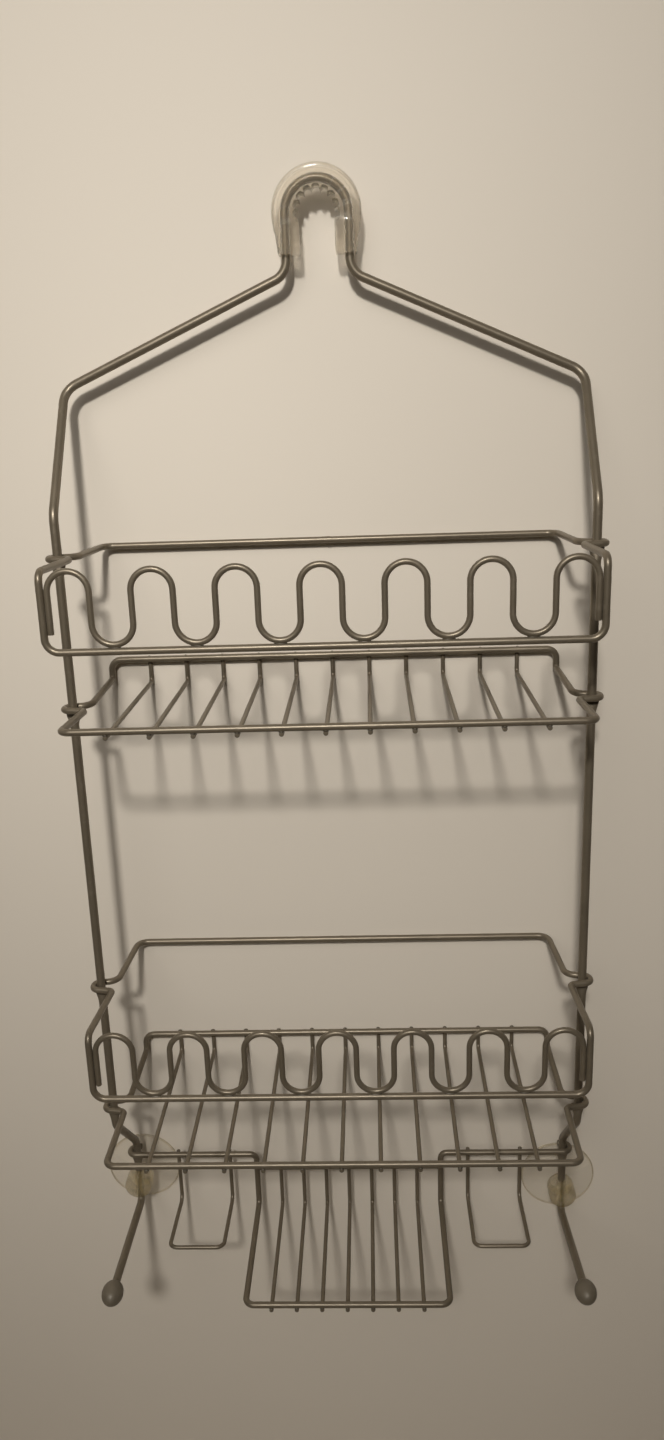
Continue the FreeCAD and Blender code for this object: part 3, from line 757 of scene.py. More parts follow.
@dataclass(frozen=True)
class Weld:
    """Resistance weld where one wire crosses another, with enamel pooled in the corner."""

    at: Vector
    along_first: Vector
    towards_second: Vector
    first: float
    second: float
    height: float = 0.78

    def add_to(self, mesh: MeshMaker, sides: int = 14, rows: int = 8) -> None:
        """Add the bead to a mesh.

        Args:
            mesh: what collects the rings.
            sides: points in each ring.
            rows: rings from one pole to the other.
        """
        along = self.along_first.normalized()
        up = self.towards_second.normalized()
        across = up.cross(along)
        rings = []
        for row in range(1, rows):
            angle = math.pi * row / rows
            level = -math.cos(angle) * self.height
            spread = math.sin(angle)
            rings.append(mesh.ring(
                self.at + up * level
                + along * (self.first * spread * math.cos(2 * math.pi * k / sides))
                + across * (self.second * spread * math.sin(2 * math.pi * k / sides))
                for k in range(sides)))
        for near, far in zip(rings, rings[1:]):
            mesh.bridge(near, far, sides, 0.0, self.height, self.first)
        mesh.lid(rings[0], sides, True)
        mesh.lid(rings[-1], sides, False)


# ------------------------------------------------------------------ turned pieces
def arc_through(first: Vector, middle: Vector, last: Vector, steps: int) -> list[Vector]:
    """Points of the arc through three points of a profile.

    Args:
        first: where the arc starts.
        middle: a point on the arc.
        last: where the arc ends.
        steps: number of equal steps.

    Returns:
        The points, both ends included.
    """
    ax, ay, bx, by, cx, cy = first.x, first.y, middle.x, middle.y, last.x, last.y
    d = 2 * (ax * (by - cy) + bx * (cy - ay) + cx * (ay - by))
    sa, sb, sc = ax * ax + ay * ay, bx * bx + by * by, cx * cx + cy * cy
    centre = Vector(((sa * (by - cy) + sb * (cy - ay) + sc * (ay - by)) / d,
                     (sa * (cx - bx) + sb * (ax - cx) + sc * (bx - ax)) / d))
    radius = (first - centre).length
    angles = [math.atan2(p.y - centre.y, p.x - centre.x) for p in (first, middle, last)]
    turn = (angles[2] - angles[0]) % (2 * math.pi)
    if (angles[1] - angles[0]) % (2 * math.pi) > turn:
        turn -= 2 * math.pi
    return [centre + radius * Vector((math.cos(angles[0] + turn * k / steps),
                                      math.sin(angles[0] + turn * k / steps)))
            for k in range(steps + 1)]


@dataclass(frozen=True)
class Turning:
    """Piece turned about an axis from a profile of (radius, height) points."""

    profile: tuple[Vector, ...]
    centre: Vector
    axis: Vector
    segments: int = 72

    def add_to(self, mesh: MeshMaker) -> None:
        """Add the piece to a mesh. A profile end on the axis is closed by a tiny ring."""
        up = self.axis.normalized()
        side = UP if abs(up.z) < 0.9 else ACROSS
        across = (side - up * side.dot(up)).normalized()
        third = up.cross(across)
        rings = []
        travelled = 0.0
        before = self.profile[0]
        for spot in self.profile:
            travelled += (spot - before).length
            before = spot
            radius = max(spot.x, AXIS_RING)
            rings.append((mesh.ring(
                self.centre + up * spot.y
                + across * (radius * math.cos(2 * math.pi * k / self.segments))
                + third * (radius * math.sin(2 * math.pi * k / self.segments))
                for k in range(self.segments)), travelled))
        for (near, from_mm), (far, to_mm) in zip(rings, rings[1:]):
            mesh.bridge(near, far, self.segments, from_mm, to_mm, 40.0)
        mesh.lid(rings[0][0], self.segments, True)
        mesh.lid(rings[-1][0], self.segments, False)


def cut_away(obj: bpy.types.Object, cutter: bpy.types.Object, crease: float) -> None:
    """Cut one object's shape out of another and drop the cutter.

    Args:
        obj: piece that is cut.
        cutter: shape that is taken away.
        crease: edges sharper than this many degrees stay crisp.
    """
    modifier = obj.modifiers.new("cut", "BOOLEAN")
    modifier.object = cutter
    modifier.operation = "DIFFERENCE"
    modifier.solver = "EXACT"
    bpy.context.view_layer.update()
    graph = bpy.context.evaluated_depsgraph_get()
    mesh = bpy.data.meshes.new_from_object(obj.evaluated_get(graph))
    obj.modifiers.clear()
    obj.data = mesh
    mesh.shade_smooth()
    mesh.set_sharp_from_angle(angle=math.radians(crease))
    bpy.data.objects.remove(cutter)


def dress(obj: bpy.types.Object, finishes: Sequence[bpy.types.Material],
          finish_of: Callable[[bpy.types.MeshPolygon], int]) -> None:
    """Give the faces of a piece different finishes.

    Args:
        obj: the piece.
        finishes: finishes that it has.
        finish_of: gives the number of a face's finish.
    """
    obj.data.materials.clear()
    for finish in finishes:
        obj.data.materials.append(finish)
    for face in obj.data.polygons:
        face.material_index = finish_of(face)


# ------------------------------------------------------------------ hanging frame
@dataclass(frozen=True)
class HangingFrame:
    """One rod from ball cap to ball cap, over the neck, with its coined ears and blades."""

    finishes: Finishes
    neck_depth: float = 14.0
    arch_radius: float = 17.2
    arch_lower: float = 0.8
    leg_drop: float = 30.5
    shoulder_drop: float = 86.0
    side_top_drop: float = 151.0
    side_foot_drop: float = 529.0
    foot_top_drop: float = 574.0
    kink_drop: float = 626.5
    arm_bend: float = 5.0
    stagger: float = 5.0
    tip_half: float = 142.0
    tip_depth: float = 109.0
    tip_drop: float = 611.0
    shoulder_bend: float = 11.0
    side_bend: float = 14.0
    coined_thick: float = 2.6
    ear_half: float = 4.2
    ear_length: float = 8.5
    ear_gap: float = 0.05
    blade_half: float = 3.2
    blade_length: float = 17.0
    blade_taper: float = 0.3
    rings_per_ear: int = 8
    rings_per_blade: int = 20

    def path(self) -> WirePath:
        """Centre line of the rod."""
        neck_y, side_y, foot_y = -self.neck_depth, -STOCK.side_depth, -STOCK.foot_depth
        half, arch = STOCK.side_half, self.arch_radius
        right = [
            Corner(Vector((arch, neck_y, arch - self.arch_lower)), meeting(arch)),
            Corner(Vector((arch, neck_y, -self.leg_drop)), self.shoulder_bend),
            Corner(Vector((half, neck_y, -self.shoulder_drop)), self.shoulder_bend),
            Corner(Vector((half, side_y, -self.side_top_drop)), self.side_bend),
            Corner(Vector((half, side_y, -self.side_foot_drop)), self.side_bend),
            Corner(Vector((half, foot_y, -self.foot_top_drop)), self.side_bend),
        ]
        upper = WirePath.both_halves(right).corners
        feet = [(Corner(self.kink(side), self.arm_bend), Corner(self.tip(side)))
                for side in Side]
        return WirePath(feet[0][::-1] + upper + feet[1])

    def kink(self, side: Side) -> Vector:
        """Corner where the lower upright on one side turns forward."""
        return Vector((side.value * STOCK.side_half, -STOCK.foot_depth,
                       -self.kink_drop - side.value * self.stagger))

    def tip(self, side: Side) -> Vector:
        """End of the rod on one side, at the middle of its ball cap."""
        return Vector((side.value * self.tip_half, -self.tip_depth, -self.tip_drop))

    def ear_tops(self) -> list[float]:
        """Heights just under each loop that rests on an ear."""
        tops = []
        for tier in Tier:
            tops.append(node_box(f"{tier.word}_shelf_rim")[0].z)
            tops.append(GuardLoop(tier, self.finishes).back_height() - STOCK.rail / 2)
        tops.append(SoapDish(self.finishes).rail_height() - STOCK.rail / 2)
        return [top - self.ear_gap for top in tops]

    def blade_middle(self, side: Side) -> float:
        """Height of the middle of the blade inside the suction cup on one side."""
        low, high = node_box(f"{side.word}_suction_cup")
        return (low.z + high.z) / 2

    def section(self, station: Station) -> Vector:
        """Widths of the rod, as shares of its round ones, where it is coined."""
        z = station.at.z
        if abs(station.at.x) < STOCK.side_half - 1 or abs(station.ahead.z) < 0.99:
            return ROUND
        radius = STOCK.rod / 2
        thin = self.coined_thick / 2 / radius
        for top in self.ear_tops():
            if top - self.ear_length <= z <= top + 0.01:
                share = eased((z - top + self.ear_length) / self.ear_length)
                wide = self.ear_half / radius
                return Vector((1 + (wide - 1) * share, 1 + (thin - 1) * share, 1))
        reach = self.blade_length / 2
        side = Side.RIGHT if station.at.x > 0 else Side.LEFT
        off = abs(z - self.blade_middle(side))
        if off < reach:
            share = eased(min(1.0, (reach - off) / (reach * self.blade_taper)))
            deep = self.blade_half / radius
            return Vector((1 + (thin - 1) * share, 1 + (deep - 1) * share, 1))
        return ROUND

    def build(self) -> None:
        """Make the rod."""
        levels = []
        for top in self.ear_tops():
            levels += [top - self.ear_length * k / self.rings_per_ear
                       for k in range(self.rings_per_ear + 1)]
            levels += [top + 0.3]
        half = self.rings_per_blade // 2
        for side in Side:
            levels += [self.blade_middle(side) + self.blade_length / 2 * k / half
                       for k in range(-half, half + 1)]
        mesh = MeshMaker()
        RoundWire(self.path(), STOCK.rod, 24, self.section, tuple(levels)).add_to(mesh)
        rod = mesh.piece("hanging_rod", self.finishes.wire)
        settle(rod, Body.CADDY, Slot.WIRE, ["frame_rod"])


# ------------------------------------------------------------------ loops on the frame
@dataclass(frozen=True)
class Crook:
    """Zigzag of a loop that snaps round a side rod."""

    back_half: float = 135.3
    front_half: float = 135.8
    front_step: float = 2.0
    back_bend: float = 7.0
    front_bend: float = 3.0

    def corners(self, height: float) -> list[Corner]:
        """Corners of the right-hand crook, from back to front, at this height."""
        reach = (STOCK.rod + STOCK.rail) / 2 + STOCK.gap
        half, depth = STOCK.side_half, STOCK.side_depth
        return [
            Corner(Vector((self.back_half, -depth + reach, height)), self.back_bend),
            Corner(Vector((half + reach, -depth + reach, height)), meeting(reach)),
            Corner(Vector((half + reach, -depth - reach, height)), meeting(reach)),
            Corner(Vector((self.front_half, -depth - reach - self.front_step, height)),
                   self.front_bend),
        ]


def crossing(at: Vector, rail_way: Vector, up: Vector, rail: float, rib: float) -> Weld:
    """Bead where a rib crosses a rail at right angles.

    Args:
        at: where the two wires touch.
        rail_way: direction of the rail.
        up: direction from the rib to the rail.
        rail: diameter of the rail.
        rib: diameter of the rib.

    Returns:
        The weld.
    """
    # how deep, in millimetres, enamel fills the corner between the two round wires
    pool = 0.95
    return Weld(at, rail_way, up, math.sqrt(pool * rib), math.sqrt(pool * rail))


@dataclass(frozen=True)
class Rib:
    """Thin wire under a front rail, turned up at the back and welded to both.

    Its places are the X of the rib, the Y of its back and of the front rail, the height of
    the front rail, and how far above that the wire behind is, which it is welded to.
    """

    x: float
    back: float
    front: float
    low: float
    rise: float
    rear_wire: float
    stub: float = 1.4
    head: float = 0.8
    bend: float = 3.2

    def build(self, name: str, node: str, finish: bpy.types.Material,
              welds: MeshMaker) -> None:
        """Make the rib and its two welds.

        Args:
            name: name of the piece.
            node: node that it stands for.
            finish: its finish.
            welds: what collects the welds.
        """
        floor = self.low - STOCK.step
        corners = (
            Corner(Vector((self.x, self.back, self.low + self.rise + self.head))),
            Corner(Vector((self.x, self.back, floor)), self.bend),
            Corner(Vector((self.x, self.front - self.stub, floor))),
        )
        mesh = MeshMaker()
        RoundWire(WirePath(corners), STOCK.rib, 16).add_to(mesh)
        settle(mesh.piece(name, finish), Body.CADDY, Slot.WIRE, [node])
        half, sink = STOCK.rib / 2, STOCK.sink / 2
        under = Vector((self.x, self.front, floor + half - sink))
        crossing(under, ACROSS, UP, STOCK.rail, STOCK.rib).add_to(welds)
        behind = Vector((self.x, self.back - half + sink, self.low + self.rise))
        crossing(behind, ACROSS, OUTWARD, self.rear_wire, STOCK.rib).add_to(welds)


def rib_places(count: int, pitch: float) -> list[float]:
    """X of each of some ribs that are evenly spaced about the middle."""
    return [(number - (count - 1) / 2) * pitch for number in range(count)]


@dataclass(frozen=True)
class ShelfFloor:
    """Floor loop of one shelf and the eleven ribs welded under it."""

    tier: Tier
    finishes: Finishes
    back_half: float = 134.0
    front_half: float = 134.5
    back_rise: float = 11.8
    crook_dip: float = 3.4
    corner: float = 6.0
    back_bend: float = 2.6
    rib_count: int = 11
    rib_pitch: float = 22.2

    def height(self) -> float:
        """Height of the front rail."""
        return node_box(f"{self.tier.word}_shelf_rim")[0].z + STOCK.rail / 2 + self.crook_dip

    def depth(self) -> float:
        """Distance of the front rail from the wall."""
        return -node_box(f"{self.tier.word}_shelf_rim")[0].y - STOCK.rail / 2

    def build(self) -> None:
        """Make the loop, its ribs and the welds between them."""
        low = self.height()
        back = -(STOCK.rib / 2 + STOCK.step)
        right = [
            Corner(Vector((self.back_half, back, low + self.back_rise)), self.corner),
            Corner(Vector((self.back_half, back, low)), self.back_bend),
            *Crook().corners(low - self.crook_dip),
            Corner(Vector((self.front_half, -self.depth(), low)), self.corner),
        ]
        word = self.tier.word
        mesh = MeshMaker()
        RoundWire(WirePath.both_halves(right, closed=True), STOCK.rail).add_to(mesh)
        settle(mesh.piece(f"{word}_floor_loop", self.finishes.wire), Body.CADDY, Slot.WIRE,
               [f"{word}_shelf_rim"])
        welds = MeshMaker()
        for number, x in enumerate(rib_places(self.rib_count, self.rib_pitch), 1):
            rib = Rib(x, -STOCK.rib / 2, -self.depth(), low, self.back_rise, STOCK.rail)
            rib.build(f"{word}_floor_rib_{number:02d}", f"{word}_shelf_rib_{number:02d}",
                      self.finishes.wire, welds)
        settle(welds.piece(f"{word}_floor_welds", self.finishes.weld), Body.CADDY, Slot.WIRE)


@dataclass(frozen=True)
class GuardLoop:
    """Guard loop round one shelf and the wavy wire that stands on its front rail."""

    tier: Tier
    finishes: Finishes
    wave: float = 3.2
    fall: float = 40.0
    back_half: float = 132.6
    front_half: float = 136.6
    corner: float = 7.0
    humps: int = 7
    wave_end: float = 9.0
    butt_swell: float = 0.1
    butt_length: float = 1.3
    valley_weld: tuple[float, float, float] = (3.4, 1.25, 0.62)
    end_weld: tuple[float, float, float] = (6.5, 1.15, 0.5)
    end_weld_rise: float = 0.45

    def front_low(self) -> float:
        """Height of the front rail."""
        return node_box(f"{self.tier.word}_guard_rim")[0].z + STOCK.rail / 2

    def back_height(self) -> float:
        """Height of the back rail and the crooks."""
        return self.front_low() + self.fall - self.tier.value

    def depth(self) -> float:
        """Distance of the front rail from the wall."""
        return -node_box(f"{self.tier.word}_guard_rim")[0].y - STOCK.rail / 2

    def section(self, station: Station) -> Vector:
        """Slight swelling of the ground butt weld in the middle of the back rail."""
        if station.at.y < -30:
            return ROUND
        swell = self.butt_swell * math.exp(-((station.at.x / self.butt_length) ** 2))
        return ROUND * (1 + swell)

    def build(self) -> None:
        """Make the loop, its wave and the welds between them."""
        back = -(STOCK.rib + STOCK.rail / 2 - STOCK.sink)
        high = self.back_height()
        front_top = self.front_low() + self.fall
        right = [
            Corner(Vector((self.back_half, back, high)), self.corner),
            *Crook().corners(high),
            Corner(Vector((self.front_half, -self.depth(), front_top)), self.corner * 0.75),
            Corner(Vector((self.front_half, -self.depth(), self.front_low())), self.corner),
        ]
        word = self.tier.word
        mesh = MeshMaker()
        RoundWire(WirePath.both_halves(right, closed=True), STOCK.rail, 20, self.section,
                  run_step=2.0).add_to(mesh)
        settle(mesh.piece(f"{word}_guard_loop", self.finishes.wire), Body.CADDY, Slot.WIRE,
               [f"{word}_guard_rim"])
        self._wave()

    def _wave(self) -> None:
        """Make the wavy wire and where it is welded."""
        word = self.tier.word
        end_x = self.front_half - (STOCK.rail + self.wave) / 2 - STOCK.sink / 2
        radius = end_x / (2 * self.humps - 1)
        y = -self.depth()
        low = self.front_low()
        top = low + self.fall
        valley = low + (STOCK.rail + self.wave) / 2 - STOCK.sink
        bend = meeting(radius)
        corners = [Corner(Vector((-end_x, y, low + self.wave_end)))]
        welds = MeshMaker()
        for i in range(self.humps):
            left = -end_x + 4 * radius * i
            right = left + 2 * radius
            if i:
                corners.append(Corner(Vector((left, y, valley)), bend))
            corners.append(Corner(Vector((left, y, top)), bend))
            corners.append(Corner(Vector((right, y, top)), bend))
            if i < self.humps - 1:
                corners.append(Corner(Vector((right, y, valley)), bend))
                seam = Vector((right + radius, y, low + STOCK.rail / 2 - STOCK.sink / 2))
                Weld(seam, ACROSS, UP, *self.valley_weld).add_to(welds)
        corners.append(Corner(Vector((end_x, y, low + self.wave_end))))
        for side in Side:
            seam = Vector((side.value * (end_x + self.wave / 2 + 0.02), y,
                           low + self.fall * self.end_weld_rise))
            Weld(seam, UP, ACROSS, *self.end_weld).add_to(welds)
        mesh = MeshMaker()
        RoundWire(WirePath(tuple(corners)), self.wave, 20).add_to(mesh)
        settle(mesh.piece(f"{word}_wave_wire", self.finishes.wire), Body.CADDY, Slot.WIRE,
               [f"{word}_guard_wave"])
        settle(welds.piece(f"{word}_wave_welds", self.finishes.weld), Body.CADDY, Slot.WIRE)


# ------------------------------------------------------------------ soap dish and hooks
@dataclass(frozen=True)
class SoapDish:
    """Rail across the lower uprights that dips into a soap dish, with its ribs."""

    finishes: Finishes
    half: float = 62.0
    rail_rise: float = 39.0
    cross_rise: float = 27.5
    corner: float = 5.5
    hook_reach: float = 2.5
    rib_count: int = 7
    rib_pitch: float = 15.4
    cross_edge: float = 0.2
    end_weld: tuple[float, float, float] = (1.55, 1.55, 0.7)
    end_weld_in: float = 0.2

    def floor_height(self) -> float:
        """Height of the front rail of the dish."""
        return node_box("soap_dish_rim")[0].z + STOCK.rail / 2

    def rail_height(self) -> float:
        """Height of the rail across the uprights."""
        return self.floor_height() + self.rail_rise

    def depth(self) -> float:
        """Distance of the front rail from the wall."""
        return -node_box("soap_dish_rim")[0].y - STOCK.rail / 2

    def rail_depth(self) -> float:
        """Distance from the wall of the rail across the uprights."""
        return STOCK.foot_depth + (STOCK.rod + STOCK.rail) / 2 + STOCK.gap

    def rib_back(self) -> float:
        """Y of the ribs and hook loops behind the rail."""
        return -self.rail_depth() + STOCK.step

    def build(self) -> None:
        """Make the rail, the ribs, the cross wire and the welds."""
        rail_y = -self.rail_depth()
        behind = -2 * STOCK.foot_depth - rail_y
        wrap = self.rail_depth() - STOCK.foot_depth
        outer = STOCK.side_half + wrap
        low, high = self.floor_height(), self.rail_height()
        right = [
            Corner(Vector((self.half, -self.depth(), low)), self.corner),
            Corner(Vector((self.half, rail_y, low)), self.corner * 0.8),
            Corner(Vector((self.half, rail_y, high)), self.corner * 0.8),
            Corner(Vector((outer, rail_y, high)), meeting(wrap)),
            Corner(Vector((outer, behind, high)), meeting(wrap)),
            Corner(Vector((STOCK.side_half - self.hook_reach, behind, high))),
        ]
        mesh = MeshMaker()
        RoundWire(WirePath.both_halves(right), STOCK.rail).add_to(mesh)
        settle(mesh.piece("dish_rail", self.finishes.wire), Body.CADDY, Slot.WIRE,
               ["soap_dish_rim"])
        welds = MeshMaker()
        for number, x in enumerate(rib_places(self.rib_count, self.rib_pitch), 1):
            rib = Rib(x, self.rib_back(), -self.depth(), low, self.cross_rise, STOCK.rib)
            rib.build(f"dish_rib_{number}", f"soap_dish_rib_{number}", self.finishes.wire, welds)
        self._cross_wire(welds)
        settle(welds.piece("dish_welds", self.finishes.weld), Body.CADDY, Slot.WIRE)

    def _cross_wire(self, welds: MeshMaker) -> None:
        """Make the wire across the back of the dish and its two end welds."""
        reach = self.half - STOCK.rail / 2 + STOCK.sink
        y = self.rib_back() - STOCK.rib + STOCK.sink
        z = self.floor_height() + self.cross_rise
        ends = tuple(Corner(Vector((side.value * reach, y, z))) for side in Side)
        mesh = MeshMaker()
        RoundWire(WirePath(ends), STOCK.rib, 16, edge=self.cross_edge).add_to(mesh)
        settle(mesh.piece("dish_cross_wire", self.finishes.wire), Body.CADDY, Slot.WIRE,
               ["soap_dish_cross_wire"])
        for side in Side:
            joint = Vector((side.value * (reach - self.end_weld_in), y, z))
            Weld(joint, UP, ACROSS, *self.end_weld).add_to(welds)


@dataclass(frozen=True)
class HookLoop:
    """Loop for a razor or a cloth that hangs behind the dish rail."""

    side: Side
    finishes: Finishes
    inner_half: float = 80.5
    outer_half: float = 115.4
    depth: float = 66.0
    front_lift: float = 3.0
    corner: float = 5.0

    def build(self) -> None:
        """Make the loop and its two welds."""
        dish = SoapDish(self.finishes)
        node = f"{self.side.word}_hook_loop"
        low, high = node_box(node)
        back_y = dish.rib_back()
        floor = low.z + STOCK.rib / 2
        front = (-self.depth, floor + self.front_lift)
        inner = self.side.value * self.inner_half
        outer = self.side.value * self.outer_half
        corners = (
            Corner(Vector((inner, back_y, high.z))),
            Corner(Vector((inner, back_y, floor)), self.corner),
            Corner(Vector((inner, *front)), self.corner),
            Corner(Vector((outer, *front)), self.corner),
            Corner(Vector((outer, back_y, floor)), self.corner),
            Corner(Vector((outer, back_y, high.z))),
        )
        mesh = MeshMaker()
        RoundWire(WirePath(corners), STOCK.rib, 18).add_to(mesh)
        settle(mesh.piece(f"{self.side.word}_hook_wire", self.finishes.wire), Body.CADDY,
               Slot.WIRE, [node])
        welds = MeshMaker()
        for x in (inner, outer):
            touch = Vector((x, back_y - STOCK.rib / 2 + STOCK.sink / 2, dish.rail_height()))
            crossing(touch, ACROSS, OUTWARD, STOCK.rail, STOCK.rib).add_to(welds)
        settle(welds.piece(f"{self.side.word}_hook_welds", self.finishes.weld), Body.CADDY,
               Slot.WIRE)


# ------------------------------------------------------------------ neck grip
@dataclass(frozen=True)
class NeckGrip:
    """Clear horseshoe moulded round the neck, scalloped inside to bite on the arm."""

    finishes: Finishes
    radius: float = 24.0
    foot_half: float = 21.8
    drop: float = 20.4
    arch_lower: float = 0.8
    edge: float = 2.2
    inner_edge: float = 0.5
    bore: float = 9.8
    slot_half: float = 9.5
    lobes: int = 9
    lobe_radius: float = 2.05
    lobe_orbit: float = 10.3
    lobe_step: float = 25.0
    groove_from_edge: float = 3.3
    groove_deep: float = 0.28
    step_drop: float = 10.8
    step_in: float = 0.55
    channel_radius: float = 2.54
    sole_round: float = 0.35
    crease: float = 50.0
    wrap_angle: float = 194.0
    wall_foot: float = 4.0
    leg_rings: int = 10
    rings_per_lobe: int = 14

    def _inner_radius(self, angle: float) -> float:
        """Radius of the scalloped opening at an angle in degrees."""
        first = 90 - (self.lobes - 1) / 2 * self.lobe_step
        nearest = first + round((angle - first) / self.lobe_step) * self.lobe_step
        nearest = min(max(nearest, first), first + (self.lobes - 1) * self.lobe_step)
        off = math.radians(angle - nearest)
        aside = self.lobe_orbit * math.sin(off)
        if abs(aside) >= self.lobe_radius:
            return self.bore
        reach = self.lobe_orbit * math.cos(off) + math.sqrt(self.lobe_radius ** 2 - aside ** 2)
        return max(self.bore, reach)

    def _outer_at(self, angle: float) -> Vector:
        """Point of the outer outline at an angle in degrees, from the middle of the arch."""
        way = Vector((math.cos(math.radians(angle)), math.sin(math.radians(angle))))
        lean = (self.radius - self.foot_half) / self.drop
        if way.y >= -math.sin(lean):
            return way * self.radius + Vector((0, -self.arch_lower))
        spring = Vector((self.radius * math.cos(lean), -self.radius * math.sin(lean)))
        foot = Vector((self.foot_half, -self.drop))
        side = foot - spring
        reach = Vector((abs(way.x), way.y))
        share = (spring.x * reach.y - spring.y * reach.x) / (side.y * reach.x - side.x * reach.y)
        point = spring + side * share
        return Vector((math.copysign(point.x, way.x), point.y - self.arch_lower))

    def _outline(self) -> list[tuple[Vector, Vector]]:
        """Matching outer and inner points, from the left foot over to the right foot."""
        sole = -self.drop - self.arch_lower
        turn_angle = 90 + (self.lobes - 1) / 2 * self.lobe_step + math.degrees(
            math.asin(0.95 * self.lobe_radius / self.lobe_orbit))
        inner_turn = self._inner_radius(turn_angle)
        wall_top = inner_turn * math.sin(math.radians(turn_angle))
        outer_turn = self._outer_at(self.wrap_angle)
        left: list[tuple[Vector, Vector]] = []
        for k in range(self.leg_rings):
            share = k / self.leg_rings
            z_in = sole + (wall_top - sole) * share
            z_out = sole + (outer_turn.y - sole) * share
            across = self.foot_half + (abs(outer_turn.x) - self.foot_half) * share
            left.append((Vector((-across, z_out)), Vector((-self.slot_half, z_in))))
        steps = self.lobes * self.rings_per_lobe
        over: list[tuple[Vector, Vector]] = []
        for k in range(steps + 1):
            share = k / steps
            angle_in = turn_angle + (180 - 2 * turn_angle) * share
            angle_out = self.wrap_angle + (180 - 2 * self.wrap_angle) * share
            reach = self._inner_radius(angle_in)
            inner = Vector((reach * math.cos(math.radians(angle_in)),
                            reach * math.sin(math.radians(angle_in))))
            over.append((self._outer_at(angle_out), inner))
        right = [(Vector((-o.x, o.y)), Vector((-i.x, i.y))) for o, i in left[::-1]]
        return left + over + right

    def _section(self, width: float, front: float, back: float) -> list[Vector]:
        """Section as (distance in from the outer edge, y), once round."""
        e, f = self.edge, self.inner_edge
        spots = []
        for k in range(7):
            a = math.radians(15 * k)
            spots.append(Vector((e - e * math.cos(a), front + e - e * math.sin(a))))
        g, deep = self.groove_from_edge, self.groove_deep
        spots += [Vector((g - 0.25, front)), Vector((g - 0.1, front + deep)),
                  Vector((g + 0.1, front + deep)), Vector((g + 0.25, front))]
        for k in range(4):
            a = math.radians(30 * k)
            spots.append(Vector((width - f + f * math.sin(a), front + f - f * math.cos(a))))
        for k in range(4):
            a = math.radians(30 * k)
            spots.append(Vector((width - f + f * math.cos(a), back - f + f * math.sin(a))))
        for k in range(7):
            a = math.radians(15 * k)
            spots.append(Vector((e - e * math.sin(a), back - e + e * math.cos(a))))
        return spots

    def build(self) -> None:
        """Make the grip."""
        low, high = node_box("neck_grip")
        mesh = MeshMaker()
        rings = []
        outline = self._outline()
        sides = 0
        for number, (outer, inner) in enumerate(outline):
            way = (inner - outer).normalized()
            tuck = self.step_in if outer.y < -self.step_drop else 0.0
            outer = outer + way * tuck
            width = (inner - outer).length
            spots = self._section(width, low.y, high.y)
            sides = len(spots)
            if number in (0, len(outline) - 1):
                middle = Vector((width / 2, (low.y + high.y) / 2))
                spots = [spot + (middle - spot).normalized() * self.sole_round for spot in spots]
            rings.append(mesh.ring(
                Vector((outer.x + way.x * s.x, s.y, outer.y + way.y * s.x)) for s in spots))
        for k, (near, far) in enumerate(zip(rings, rings[1:])):
            mesh.bridge(near, far, sides, float(k), float(k + 1), 60.0)
        mesh.lid(rings[0], sides, True)
        mesh.lid(rings[-1], sides, False)
        grip = mesh.piece("arm_grip", self.finishes.grip, self.crease)
        cut_away(grip, self._channel(), self.crease)
        # the scallop walls get a darker copy of the vinyl: painted shade standing in for the dark
        # lines that clear vinyl shows where it is seen edge on
        dress(grip, [self.finishes.grip, self.finishes.grip_edge], self._finish_of)
        settle(grip, Body.CADDY, Slot.GRIP, ["neck_grip"])

    def _channel(self) -> bpy.types.Object:
        """Shape of the hollow that the rod lies in."""
        neck = HangingFrame(self.finishes)
        arch, y = neck.arch_radius, -neck.neck_depth
        top, leg = arch - neck.arch_lower, -2 * self.drop
        ends = (Corner(Vector((-arch, y, leg))), Corner(Vector((-arch, y, top)), meeting(arch)),
                Corner(Vector((arch, y, top)), meeting(arch)), Corner(Vector((arch, y, leg))))
        mesh = MeshMaker()
        RoundWire(WirePath(ends), 2 * self.channel_radius, 24).add_to(mesh)
        return mesh.piece("channel", self.finishes.grip)

    def _finish_of(self, face: bpy.types.MeshPolygon) -> int:
        """Number of the finish of one face: one, the darker copy with painted shade, on the scallop
        walls, else zero.
        """
        reach = math.hypot(face.center.x, face.center.z)
        near = reach < (self.lobe_orbit + self.lobe_radius + 0.1) * MM
        turned = abs(face.normal.y) < 0.97
        return 1 if near and turned and face.center.z > -self.wall_foot * MM else 0


